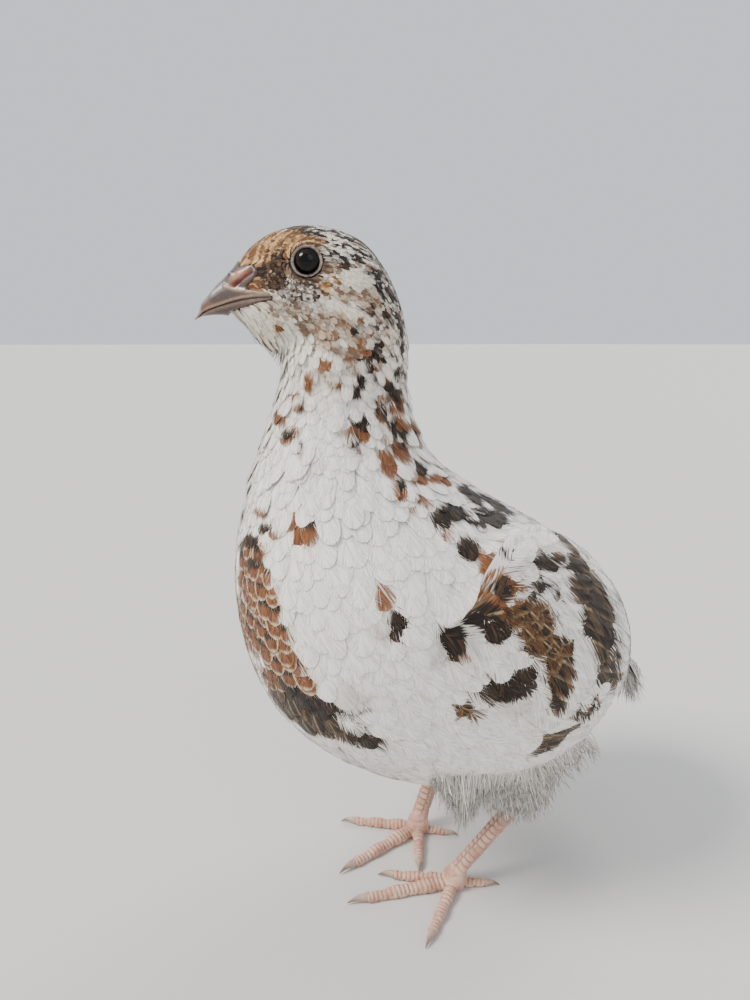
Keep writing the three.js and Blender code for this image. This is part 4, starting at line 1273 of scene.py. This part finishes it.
def claw_material():
    s = Shader("claw_horn", 0.35)
    share = s.attribute("share")[4]
    grain = s.grain(500.0, 4.0)
    colour = s.tone("b89c8a", "6b5548", share, 0.1, 1.0)
    s.colour(s.blend(colour, "493a31", s.times(s.step(0.5, 0.7, grain), 0.4)))
    s.bump(grain, 0.05, 0.5)
    return s.material


def make_skin():
    points, quads = skin_field.points, skin_field.quads
    points = skin_field.onto(points, -plumage_sizes(points)[:, 2], 3)
    head = in_head(points)
    under_bill = ramp(-0.3, 0.6, bare_depth(head[:, 1:])) * ramp(-5.0, -7.0, head[:, 1])
    under_eye = ramp(3.6, 2.6, from_eye(points)[1])
    points = points - skin_field.normal(points) * (0.8 * under_bill + 2.0 * under_eye)[:, None]
    skin = make_object("skin", points, quads)
    paint(skin, points)
    quill = np.tile((0, *SKIN_QUILL), (len(points), 1))
    quill[:, 0] = points[:, 2]
    set_attribute(skin, "quill", quill)
    set_attribute(skin, "long", np.full(len(points), SKIN_LONG))
    finish_piece(skin, plumage, FLESH)


def wing_reach_table():
    """How far out the trunk's skin lies from the wing's axis, by station and angle."""
    stations, angles = np.meshgrid(WING_STATIONS, WING_ANGLES, indexing="ij")
    turn = np.radians(angles.ravel())
    foot = WING_FROM + stations.ravel()[:, None] * wing_ahead
    out = np.cos(turn)[:, None] * LEFT + np.sin(turn)[:, None] * wing_up
    near, far = np.zeros(len(foot)), np.full(len(foot), 60.0)
    for _ in range(22):
        r = (near + far) / 2
        inside = skin_field.at(foot + out * r[:, None]) < 0
        near, far = np.where(inside, r, near), np.where(inside, far, r)
    return near.reshape(stations.shape)


def trunk_reach(s, angle):
    x = np.clip((s - WING_STATIONS[0]) / 2, 0, len(WING_STATIONS) - 1.001)
    y = np.clip((angle - WING_ANGLES[0]) / 4, 0, len(WING_ANGLES) - 1.001)
    i, j = x.astype(int), y.astype(int)
    f, g = x - i, y - j
    low = mix(wing_table[i, j], wing_table[i + 1, j], f)
    high = mix(wing_table[i, j + 1], wing_table[i + 1, j + 1], f)
    return mix(low, high, g)


def wing_reach(s, angle):
    """The trunk's reach, but running straight near the wing tip."""
    onto = trunk_reach(s, angle)
    free = trunk_reach(np.full_like(s, WING_FREE_S), angle) - WING_TAPER * (s - WING_FREE_S)
    return np.where(s < WING_FREE_S, onto, np.maximum(onto, free))


def wing_edges(s):
    """The angles of the wing's lower and upper edge at a station along it."""
    return [np.interp(s, WING_EDGE[:, 0], WING_EDGE[:, k]) for k in (1, 2)]


def wing_angle(s, share):
    return mix(*wing_edges(s), share)


def wing_place(side):
    def place(s, angle, lift):
        r = wing_reach(s, angle) + WING_LIFT + lift
        turn = np.radians(angle)
        out = np.stack([side * np.cos(turn), np.zeros_like(turn), np.zeros_like(turn)], -1)
        out = out + np.sin(turn)[..., None] * wing_up
        return WING_FROM + s[..., None] * wing_ahead + out * r[..., None]

    return place


def wing_share(p):
    """Where points lie on the wing: the station along it, and the share of its height."""
    q = p - WING_FROM
    s = q @ wing_ahead
    angle = np.degrees(np.arctan2(q @ wing_up, np.abs(q[:, 0])))
    low, high = wing_edges(s)
    return s, (angle - low) / (high - low)


def tail_place(down, x, lift):
    way = np.array([0.0, math.cos(TAIL_DROOP), -math.sin(TAIL_DROOP)])
    out = np.array([0.0, -way[2], way[1]])
    rise = lift - TAIL_ARCH * (x / 12) ** 2
    across = np.stack([x, np.zeros_like(x), np.zeros_like(x)], -1)
    return TAIL_ROOT + down[..., None] * way + rise[..., None] * out + across


def lay(place, per_mm, vane, root, tip, wide, top, sink):
    """Feathers between given roots and tips on a curved surface, as grow() gives them."""
    count = len(root)
    u, v, under = vane.strayed(count, 0.012, 0.03)
    u = mix(u, np.minimum(u, 1.0), 0.6)
    half = wide[:, None] / 2
    t = np.clip(u, 0, 1.05)
    s = mix(root[:, :1], tip[:, :1], t)
    a = mix(root[:, 1:], tip[:, 1:], t)
    per = per_mm(s, a)
    run = tip[:, 0] - root[:, 0]
    rise = (tip[:, 1] - root[:, 1]) / per.mean(1)
    long = np.hypot(run, rise)
    way_x, way_y = (run / long)[:, None], (rise / long)[:, None]
    bow = 0.04 * long[:, None] * (4 * t * (1 - t))
    across = v * half + bow
    end = 1 - 0.25 * ramp(0.8, 1.0, t)
    thick = np.minimum(0.22, 0.03 * wide)[:, None]
    high = sink + (top[:, None] - sink) * end * ramp(-0.1, 0.45, t)
    high = high - WING_TILT * v - 0.12 * v * v - under * thick
    at = place(s - way_y * across, a + way_x * across * per, high)
    before = place(s - way_x - way_y * across, a - way_y * per + way_x * across * per, high)
    beside = place(s - way_y * (across + 1), a + way_x * (across + 1) * per, high)
    facing = unit(np.cross(beside - at, at - before))
    outward = np.sign((facing * (at - np.array([0, 0, 70.0]))).sum(-1, keepdims=True))
    facing = facing * outward + (beside - at) * (0.25 * CROWN * v)[..., None]
    quill = quill_values(vane, u, v, long, half, SWEEP)
    exposed = mix(at[:, 0], at[:, vane.tip], 0.8)
    return (at, quill, exposed, unit(facing)), long


def rows_of(rows, to_across, bow):
    """The root, tip, width and height of each feather in some rows, with a little scatter."""
    roots, tips, wides, tops = [], [], [], []
    for count, *ends, wide, top in rows:
        first_root, last_root, first_tip, last_tip = np.array(ends, float)
        for i in range(count):
            t = i / (count - 1)
            root, tip = mix(first_root, last_root, t), mix(first_tip, last_tip, t)
            tip[0] += bow * (1 - (2 * t - 1) ** 2) + random.normal(0, 0.8)
            roots.append((root[0], to_across(*root)))
            tips.append((tip[0], to_across(*tip) + random.normal(0, 0.6)))
            wides.append(wide * random.uniform(0.92, 1.06))
            tops.append(top + random.normal(0, 0.08))
    return np.array(roots), np.array(tips), np.array(wides), np.array(tops)


def make_wings():
    vane = Vane(14, 14, middle=True)
    for side, name in ((1, "wing_left"), (-1, "wing_right")):
        root, tip, wide, top = rows_of(WING_ROWS, lambda s, v: float(wing_angle(s, v)), 0.0)
        place = wing_place(side)

        def per_mm(s, a):
            return np.degrees(1 / np.maximum(12.0, wing_reach(s, a)))

        grown, long = lay(place, per_mm, vane, root, tip, wide, top, WING_SINK)
        feather_object(name, vane, grown, grown[0][:, 0], long, replaces=[name])


def make_tail():
    vane = Vane(12, 12, middle=True)
    root, tip, wide, top = rows_of(TAIL_ROWS, lambda s, x: x, TAIL_BOW)
    grown, long = lay(tail_place, lambda s, a: np.ones_like(s), vane, root, tip, wide, top, 0.2)
    feather_object("tail", vane, grown, grown[0][:, 0], long, replaces=["tail"])


def make_contour_feathers():
    """The small feathers of the whole body, denser and finer towards the bill."""

    def gap(p):
        long, wide, _ = plumage_sizes(p).T
        fine = ramp(126.0, 140.0, p[:, 2])
        return mix(GAP_BODY, GAP_HEAD, fine) * np.sqrt(long * wide)

    roots = scattered(coat_field.points, coat_field.quads, gap, ROOT_TRIES)
    head = in_head(roots)
    on_bill = (bare_depth(head[:, 1:]) > -0.1) & (head[:, 1] < -6) & (roots[:, 2] > 138)
    bare = on_bill | ((from_eye(roots)[1] < BARE_EYE) & (roots[:, 2] > 145))
    station, share = wing_share(roots)
    on_wing = between(station, UNDER_WING_S) & between(share, UNDER_WING_SHARE)
    on_tail = (roots[:, 1] > UNDER_TAIL_Y) & between(roots[:, 2], UNDER_TAIL_Z)
    roots = roots[~(bare | on_wing | on_tail)]
    sizes = plumage_sizes(roots) * random.uniform(0.85, 1.12, (len(roots), 1))
    turn = random.normal(0, 0.10, len(roots))
    lift = random.normal(0, 0.035, len(roots)) * sizes[:, 2]
    head = in_head(roots)
    beard = np.exp(-(((head - BEARD_AT) / BEARD_HALF) ** 2).sum(1))
    lift += BEARD_LIFT * beard * random.uniform(0, 1, len(roots)) ** 2
    sizes[:, 0] *= 1 + 0.5 * beard
    by_eye = ramp(7.0, 3.8, from_eye(roots)[1]) * (roots[:, 2] > 140)
    sizes[:, :2] *= (1 - 0.35 * by_eye)[:, None]
    ragged = ramp(104.0, 116.0, roots[:, 2]) * ramp(150.0, 138.0, roots[:, 2])
    lift += ragged * 0.9 * random.uniform(0, 1, len(roots)) ** 9

    high = roots[:, 2]
    face, neck = high > FACE_ABOVE, high > NECK_ABOVE
    front, breast = head[:, 1] < 0, roots[:, 1] < BREAST_AHEAD
    fine, soft = (Vane(5, 3), 4, SWEEP_FINE), (Vane(7, 8, True), 7, SWEEP_SOFT)
    classes = [
        ("face", face & front, head, 1.0, 0.45, *fine),
        ("nape", face & ~front, head, 0.8, 0.3, *fine),
        ("neck", neck & ~face, None, 0.55, 0.15, Vane(6, 8), 5, SWEEP_SOFT),
        ("breast", ~neck & breast, None, 0.6, 0.0, *soft),
        ("flank", ~neck & ~breast, roots, 0.6, 0.0, *soft),
    ]
    for name, there, halved, pull, jitter, vane, stations, sweep in classes:
        pieces = [(name, there)]
        if halved is not None:
            left = halved[:, 0] > 0
            pieces = [(name + "_left", there & left), (name + "_right", there & ~left)]
        for piece, chosen in pieces:
            at, size = roots[chosen], sizes[chosen]
            grown = grow(vane, at, size, turn[chosen], lift[chosen], stations, sweep)
            feather_object(piece, vane, grown, at, size[:, 0], pull, jitter)


def skirt_roots():
    """Roots, ways and lengths of the down that hangs in a point between the legs, on both sides."""
    right = np.array([math.cos(math.radians(CAMERA_HEADING)), math.sin(math.radians(CAMERA_HEADING)), 0])
    across, longest = np.array(SKIRT).T
    found = []
    for x in random.uniform(across[0], across[-1], SKIRT_COUNT):
        way = sight_line(x, SKIRT_HIGH + random.normal(0, 3.0))
        hit = coat_field.tree.ray_cast(CAMERA_AT, way.tolist())
        if hit[0] is None:
            continue
        lean = right * (SKIRT_POINT - x) * SKIRT_LEAN - UP
        long = np.interp(x, across, longest) * random.uniform(0.6, 1.05)
        for flip in (1.0, -1.0):
            mirror = np.array([flip, 1.0, 1.0])
            found.append((np.array(hit[0]) * mirror, lean * mirror, long))
    return (np.array(values) for values in zip(*found))


def make_down():
    """Loose down round the vent and where the legs leave the belly."""
    p = coat_field.points
    low = (p[:, 2] < 50) & (p[:, 2] > 26) & (p[:, 1] > 44)
    for leg in LEGS.values():
        far = np.hypot(p[:, 0] - leg["heel"][0], p[:, 1] - leg["heel"][1])
        low |= (far < DOWN_ROUND_LEG) & (p[:, 2] < DOWN_BELOW)
    skirt, skirt_way, skirt_long = skirt_roots()
    count = DOWN_COUNT - len(skirt)
    roots = p[random.choice(np.flatnonzero(low), count)] + random.normal(0, 0.4, (count, 3))
    roots = coat_field.onto(np.concatenate([roots, skirt]), -0.6)
    normal = coat_field.normal(roots)
    way = plumage_lie(roots, normal)
    clump = np.sin(roots @ DOWN_CLUMPS) * 0.16
    way = unit(0.7 * way + 0.22 * normal + clump + random.normal(0, 0.16, roots.shape) + (0, 0, -0.8))
    long = random.uniform(*DOWN_LONG, DOWN_COUNT) * mix(1.0, 0.75, ramp(30.0, 26.0, roots[:, 2]))
    way[count:] = unit(skirt_way + random.normal(0, 0.12, skirt.shape))
    long[count:] = skirt_long
    steps, sides = 4, 3
    t = np.arange(steps) / steps
    curl = unit(np.cross(way, random.normal(0, 1, roots.shape)))
    line = roots[:, None] + (long[:, None] * t)[..., None] * way[:, None]
    line = line + (random.uniform(0.4, 1.6, DOWN_COUNT)[:, None] * t**2)[..., None] * curl[:, None]
    line[..., 2] -= (0.12 * long[:, None]) * t**2
    tip = line[:, -1] + (line[:, -1] - line[:, -2])
    beside = unit(np.cross(way, curl))
    turn = np.arange(sides) / sides * 2 * math.pi
    ring = np.cos(turn)[:, None] * curl[:, None] + np.sin(turn)[:, None] * beside[:, None]
    thick = DOWN_THICK * (1 - 0.6 * t)
    points = line[:, :, None] + thick[None, :, None, None] * ring[:, None]
    points = np.concatenate([points.reshape(DOWN_COUNT, -1, 3), tip[:, None]], 1)
    each = steps * sides + 1
    quads = lattice(steps, sides, False, False)
    k = np.arange(sides)
    last = (steps - 1) * sides
    end = np.stack([last + k, last + (k + 1) % sides, np.full(sides, each - 1)], -1)
    faces = np.concatenate([halves(quads), [[0, 2, 1]], end])
    a, b, c = (points[0, faces[0, k]] for k in range(3))
    if np.cross(b - a, c - a) @ (a - line[0, 0]) < 0:
        faces = faces[:, ::-1]
    faces = (faces[None] + (np.arange(DOWN_COUNT) * each)[:, None, None]).reshape(-1, 3)
    flat = points.reshape(-1, 3)
    flat[:, 2] = np.maximum(flat[:, 2], DOWN_FLOOR)
    obj = make_object("down", flat, faces)
    share = np.append(np.repeat(t, sides), 1.0)
    seed = np.repeat(random.uniform(0, 0.5, DOWN_COUNT), each)
    along = np.tile(0.6 + 0.3 * share, DOWN_COUNT)
    set_attribute(obj, "quill", np.stack([along * 3, 0.5 + 0 * along, seed, along], -1))
    set_attribute(obj, "long", np.repeat(long, each))
    paint(obj, np.repeat(roots, each, 0))
    small = np.stack([share - 0.5, 0 * share], -1)
    set_unwrap(obj, np.repeat(spread(roots), each, 0) + np.tile(small, (DOWN_COUNT, 1)) * PATCH, faces)
    finish_piece(obj, plumage)


# Eyes and lids


def round_eye(side, rings, turns, place):
    """Points of rings about the eye's own axis: place(ring, turn) gives angle and distance."""
    middle = from_head(EYE_MIDDLE * (side, 1, 1))
    look = turn_from_head(eye_axis() * (side, 1, 1))
    up = unit(UP - look * look[2])
    nape = turn_from_head(BACK)
    back = unit(nape - look * (nape @ look))
    up = unit(up - back * (up @ back))
    ring, turn = np.meshgrid(np.arange(rings), np.arange(turns) / turns * 2 * math.pi, indexing="ij")
    angle, far = place(ring, turn)
    out = np.sin(angle)[..., None] * (np.cos(turn)[..., None] * back + np.sin(turn)[..., None] * up)
    points = middle + far[..., None] * (np.cos(angle)[..., None] * look + out)
    return points.reshape(-1, 3), np.degrees(angle).ravel()


def lattice(rings, turns, closed, flip):
    """Quads between rings of points, round each ring and, if closed, from the last to the first."""
    i, j = np.meshgrid(np.arange(rings if closed else rings - 1), np.arange(turns), indexing="ij")
    a, b = i * turns + j, (i + 1) % rings * turns + j
    c, d = (i + 1) % rings * turns + (j + 1) % turns, i * turns + (j + 1) % turns
    quads = np.stack([a, d, c, b] if flip else [a, b, c, d], -1)
    return quads.reshape(-1, 4)


def make_eyes():
    rings, turns = 44, 72
    wet, lid_skin = eye_material(), lid_material()
    for side, name in ((1, "left"), (-1, "right")):

        def ball(ring, _):
            angle = ring / (rings - 1) * (math.pi - 0.02) + 0.01
            bulge = 0.28 * ramp(math.radians(46), math.radians(12), angle)
            return angle, EYE_RADIUS - 0.05 + bulge

        points, angle = round_eye(side, rings, turns, ball)
        eye = make_object("eyeball_" + name, points, lattice(rings, turns, False, side > 0))
        set_attribute(eye, "from_pupil", angle)
        finish_piece(eye, wet, ["eye_" + name])

        def lid(ring, turn):
            under = ring > LID_OVER
            w = np.where(under, 1 - (ring - LID_OVER) / (LID_RINGS - LID_OVER), ring / LID_OVER)
            corner = 3.0 * np.abs(np.cos(turn)) ** 6
            angle = mix(LID_FROM + corner * 0.5, LID_TO + corner * 1.2, w)
            high = -0.4 + (0.4 + LID_HIGH) * np.sin(math.pi * w**0.72)
            folds = 0.035 * np.sin(w * 22 + 0.6 * np.sin(turn * 3)) + 0.03 * np.sin(turn * 34 + w * 7)
            high = high + folds * np.sin(math.pi * w)
            return np.radians(angle), EYE_RADIUS + np.where(under, -1.2, high)

        points, angle = round_eye(side, LID_RINGS, LID_TURNS, lid)
        ring = make_object("eyelid_" + name, points, lattice(LID_RINGS, LID_TURNS, True, side > 0))
        set_attribute(ring, "from_pupil", angle)
        finish_piece(ring, lid_skin)


# The bill


def bare_depth(q):
    """How far inside the bare outline each point (y and z in the head's frame) lies, in mm."""
    corners = np.array(BARE_BILL, float)
    after = np.roll(corners, -1, 0)
    inside = np.zeros(len(q), bool)
    nearest = np.full(len(q), 1e9)
    for a, b in zip(corners, after):
        nearest = np.minimum(nearest, to_line(q, a, b))
        crosses = (a[1] > q[:, 1]) != (b[1] > q[:, 1])
        at = a[0] + (q[:, 1] - a[1]) / (b[1] - a[1] if b[1] != a[1] else 1e-9) * (b[0] - a[0])
        inside ^= crosses & (q[:, 0] < at)
    return np.where(inside, nearest, -nearest)


def to_line(q, a, b):
    """The distance from points to the line between two others."""
    a, b = np.array(a, float), np.array(b, float)
    t = np.clip((q - a) @ (b - a) / ((b - a) @ (b - a)), 0, 1)
    return np.linalg.norm(q - a - t[:, None] * (b - a), axis=1)


def to_path(q, path):
    return np.min([to_line(q, a, b) for a, b in zip(path, path[1:])], axis=0)


def hill(x, width):
    return np.exp(-((x / width) ** 2))


def widest(r, reach, axis):
    """Each distance with narrow gaps closed: the most, then the least, of its neighbours."""
    for pick in (np.maximum, np.minimum):
        made = r.copy()
        for k in range(1, reach + 1):
            for shift in (-k, k):
                moved = np.roll(r, shift, axis)
                if axis == 0:
                    moved[:k] = np.where(shift > 0, r[:1], moved[:k])
                    moved[-k:] = np.where(shift < 0, r[-1:], moved[-k:])
                made = pick(made, moved)
        r = made
    return r


def make_bill():
    """One closed form over both halves of the bill and, under the feathers, the face."""
    points, faces = node_mesh(["bill_upper", "bill_lower", "head"])
    points = in_head(points)
    tree = BVHTree.FromPolygons(points.tolist(), faces.tolist())
    tip = points[:, 1].min()
    stations = tip + 0.03 + (BILL_BACK - tip) * np.linspace(0, 1, BILL_STATIONS) ** 1.25
    turns = np.arange(BILL_TURNS) / BILL_TURNS * 2 * math.pi
    far = 40.0
    middles = np.interp(stations, *np.array(BILL_AXIS).T)
    reach = np.zeros((len(stations), len(turns)))
    for i, (y, z) in enumerate(zip(stations.tolist(), middles.tolist())):
        for j, turn in enumerate(turns.tolist()):
            way = (math.cos(turn), 0.0, math.sin(turn))
            hit = tree.ray_cast((way[0] * far, y, z + way[2] * far), (-way[0], 0, -way[2]), far)
            reach[i, j] = far - hit[3] if hit[0] else 0.02
    for i in range(len(stations)):
        step = max(reach[i].mean(), 0.2) * 2 * math.pi / BILL_TURNS
        reach[i] = widest(reach[i][None], int(np.clip(round(0.3 / step), 1, 9)), 1)[0]
    reach = widest(reach, 3, 0)
    for _ in range(6):
        reach = (np.roll(reach, 1, 1) + 2 * reach + np.roll(reach, -1, 1)) / 4
        reach[1:-1] = (reach[:-2] + 2 * reach[1:-1] + reach[2:]) / 4
    x = reach * np.cos(turns)
    z = middles[:, None] + reach * np.sin(turns)
    y = np.broadcast_to(stations[:, None], x.shape)
    q = np.stack([x, y, z], -1)
    across = np.roll(q, -1, 1) - np.roll(q, 1, 1)
    ahead = np.gradient(q, axis=0)
    out = unit(np.cross(across, ahead)).reshape(-1, 3)
    q = q.reshape(-1, 3)
    if (out * (q - np.repeat(np.stack([0 * stations, stations, middles], -1), len(turns), 0))).sum() < 0:
        out = -out
    side = q[:, 1:]
    colours, high = bill_finish(side, np.abs(q[:, 0]))
    taper = ramp(0.0, 0.5, np.repeat(reach.mean(1), len(turns)))
    q = q + out * (high * taper)[:, None]
    count = len(q)
    ends = np.array([[0, tip, q[: len(turns), 2].mean()], [0, BILL_BACK, middles[-1]]])
    quads = lattice(len(stations), len(turns), False, True)
    ring = np.arange(len(turns))
    after = (ring + 1) % len(turns)
    last = count - len(turns)
    front = np.stack([np.full_like(ring, count), ring, after], -1)
    back = np.stack([np.full_like(ring, count + 1), last + after, last + ring], -1)
    tris = np.concatenate([halves(quads), front, back])
    bill = make_object("bill", from_head(np.concatenate([q, ends])), tris)
    set_attribute(bill, "tint", np.concatenate([colours, colours[[0, -1]]]))
    finish_piece(bill, horn_material(), HORN)


def bill_finish(side, x):
    """The colour of the bill at points of its side view, and how far they stand out."""
    path = np.array(MOUTH_LINE)[::-1]
    mouth = side[:, 1] - np.interp(side[:, 0], path[:, 0], path[:, 1])
    gape = ramp(-7.3, -8.2, side[:, 0])
    upper = ramp(-0.05, 0.05, mouth)
    slit = to_line(side, *SLIT)
    ridge = to_path(side, HORN_RIDGE)
    q = side - FLAP_AT
    c, s = math.cos(FLAP_TURN), math.sin(FLAP_TURN)
    flap = np.hypot((q @ (c, s)) / FLAP_HALF[0], (q @ (-s, c)) / FLAP_HALF[1])
    bare = bare_depth(side)
    high = gape * (0.12 * hill(mouth - 0.4, 0.3) - 0.42 * hill(mouth, 0.13))
    high = high - gape * 0.22 * ramp(0.05, -0.1, mouth) * ramp(-2.2, -0.6, mouth)
    high = high + 0.42 * ramp(1.15, 0.3, flap) + 0.22 * hill(ridge, 0.36)
    high = high - 0.62 * hill(slit, 0.36) - 0.1 * hill(slit, 0.9)
    high = high - 0.8 * ramp(0.1, -0.5, bare)
    colour = np.tile(srgb("4a3d36"), (len(side), 1))
    # pale: how near a point lies to the top ridge of the upper mandible, where a bluish painted reflection
    # of the sky lies along the culmen
    pale = ramp(2.6, 0.3, x + 0.55 * (top_of_bill(side[:, 0]) - side[:, 1]))
    layers = [
        # painted reflection: a bluish sky highlight along the culmen, not a colour of the horn
        ("b9bec8", pale * ramp(-13.0, -15.5, side[:, 0])),
        ("6b4a38", hill(np.hypot((side[:, 0] + 20.6) / 1.9, side[:, 1] + 8.3), 0.9) * upper),
        ("6d6668", 0.7 * hill(np.hypot((side[:, 0] + 17.2) / 1.8, side[:, 1] + 4.4), 1.0)),
        ("43352e", (1 - upper) * gape),
        ("7d6353", (1 - upper) * gape * hill(mouth + 0.5, 0.4)),
        ("9a7b66", 0.8 * upper * hill(mouth - 0.42, 0.34) * gape),
        ("b39680", hill(ridge, 0.36)),
        ("a07a66", ramp(1.2, 0.6, flap)),
        ("c49d89", 0.8 * ramp(0.75, 0.2, flap)),
        ("963c32", hill(slit, 0.42)),
        ("4a1712", hill(slit, 0.17)),
        # painted shade: a near-black line along the mouth, where the two halves of the bill part
        ("1c120f", gape * hill(mouth, 0.13)),
        ("5a4334", ramp(0.25, -0.3, bare)),
    ]
    for code, share in layers:
        colour = mix(colour, np.array(srgb(code)), np.clip(share, 0, 1)[:, None])
    return colour, high


def top_of_bill(y):
    return np.interp(y, [-24, -23.5, -21.5, -19, -16.5, -14], [-12, -10.6, -7.2, -4.4, -1.9, 0.2])


# Legs and claws


def floor_way(turn):
    turn = math.radians(turn)
    return np.array([math.sin(turn), -math.cos(turn), 0.0])


def mesh_normals(points, quads):
    a, b, c, d = (points[quads[:, k]] for k in range(4))
    flat = np.cross(c - a, d - b)
    made = np.zeros_like(points)
    for k in range(4):
        np.add.at(made, quads[:, k], flat)
    return unit(made)


def seams(along, period):
    """The distance to the nearest seam between plates of one length."""
    t = along / period
    return np.abs(t - np.round(t)) * period


def leg_relief(leg, points, normals):
    """How deep the seams between a leg's plates are at each point, from 0 to 1."""
    joint = np.array([*leg["joint"], JOINT_Z])
    heel = np.array([*leg["heel"], HEEL_Z])
    shank = unit(heel - joint)
    t = (points - joint) @ shank
    out = points - joint - t[:, None] * shank
    front = unit(shank * shank[1] - BACK)
    beside = np.cross(shank, front)
    turn = np.arctan2(out @ beside, out @ front)
    row = np.where(turn > 0, 0.5, 0.0) * SHANK_SCUTE
    wavy = 0.25 * np.sin(turn * 2.0)
    plates = hill(seams(t + row + wavy, SHANK_SCUTE), 0.2)
    plates = np.maximum(plates, hill(np.abs(turn) * 2.1, 0.2))
    plates = np.maximum(plates, hill((np.abs(turn) - 1.35) * 2.1, 0.2))
    round_it = turn * 2.1 + 0.47 * np.round(t / SMALL_SCUTE)
    small = np.maximum(hill(seams(t, SMALL_SCUTE), 0.16), hill(seams(round_it, SMALL_SCUTE), 0.16))
    on_front = ramp(1.45, 1.3, np.abs(turn))
    high = ramp(4.5, 7.0, points[:, 2])
    found = high * mix(0.6 * small, plates, on_front)
    for turn, _, radius, _ in leg["toes"].values():
        way = floor_way(turn)
        q = points - (joint[0], joint[1], 0)
        along = q @ way
        off = np.abs(q @ np.array([way[1], -way[0], 0]))
        near = ramp(radius * 1.7, radius * 1.2, off) * ramp(1.5, 2.6, along) * (1 - high)
        top = ramp(-0.25, 0.15, normals[:, 2])
        bars = hill(seams(along + 0.12 * off**2, TOE_SCUTE), 0.17)
        pads = hill(seams(along, TOE_PAD), 0.3)
        found = np.maximum(found, near * mix(0.7 * pads, bars, top))
    return found


def make_legs():
    skin = leg_material()
    for side, leg in LEGS.items():
        nodes = ["shank_" + side, "foot_" + side]
        points, quads = remeshed("leg_" + side, *node_mesh(nodes), LEG_VOXEL)
        points = relaxed(points, quads, 7)
        normals = mesh_normals(points, quads)
        relief = leg_relief(leg, points, normals)
        lump = 0.12 * np.sin(points @ (1.1, 1.7, 0.9)) * np.sin(points @ (-1.3, 0.8, 1.2))
        points = points + normals * (0.12 + 0.5 * lump - 0.3 * relief)[:, None]
        points[:, 2] = np.maximum(points[:, 2], 0.0)
        obj = make_object("leg_" + side, points, quads)
        set_attribute(obj, "relief", relief)
        finish_piece(obj, skin, nodes)


def make_claws():
    horn = claw_material()
    steps, sides = 15, 14
    for side, leg in LEGS.items():
        points, faces, shares = [], [], []
        for turn, length, radius, reach in leg["toes"].values():
            way = floor_way(turn)
            beside = np.array([-way[1], way[0], 0.0])
            start = len(points) * steps * sides
            t = np.linspace(-0.3, 1, steps)
            bare = np.clip(t, 0, 1)
            ahead = length + 0.3 + t * reach
            high = 0.744 * radius + 0.3 * np.sin(math.pi * bare * 0.75) - 0.95 * bare**2
            middle = np.array([*leg["joint"], 0.0]) + ahead[:, None] * way + high[:, None] * UP
            r = mix(radius * 0.66, 0.12, bare**1.15)
            a = np.arange(sides) / sides * 2 * math.pi
            ring = 0.82 * np.cos(a)[:, None] * beside + np.sin(a)[:, None] * UP
            points.append((middle[:, None] + r[:, None, None] * ring[None]).reshape(-1, 3))
            quads = lattice(steps, sides, False, False) + start
            faces.append(halves(quads))
            k = np.arange(1, sides - 1)
            faces.append(start + np.stack([0 * k, k, k + 1], -1))
            faces.append(start + (steps - 1) * sides + np.stack([0 * k, k + 1, k], -1))
            shares.append(np.repeat(t, sides))
        obj = make_object("claws_" + side, np.concatenate(points), np.concatenate(faces))
        set_attribute(obj, "share", np.concatenate(shares))
        finish_piece(obj, horn, ["claw_" + toe + "_" + side for toe in leg["toes"]])


plumage_at, plumage_way, plumage_size = (np.array(part, float) for part in zip(*both_sides(PLUMAGE)))
plumage_way = unit(plumage_way)
plumage_reach = np.where(plumage_at[:, 2] > PLUMAGE_NECK, PLUMAGE_REACH_HEAD, PLUMAGE_REACH_BODY)
wing_ahead = unit(WING_TO - WING_FROM)
wing_up = np.cross(LEFT, wing_ahead)
skin_field = Field("skin", FLESH + EYES + HORN, 2.2, 0.8)
coat_field = Field("coat", FLESH + EYES + HORN + WINGS + ["tail"], 1.6, 0.8)
marks = cast_marks()
wing_table = wing_reach_table()
make_camera()
make_stage()
plumage = plumage_material()
make_skin()
make_contour_feathers()
make_wings()
make_tail()
make_down()
make_eyes()
make_bill()
make_legs()
make_claws()
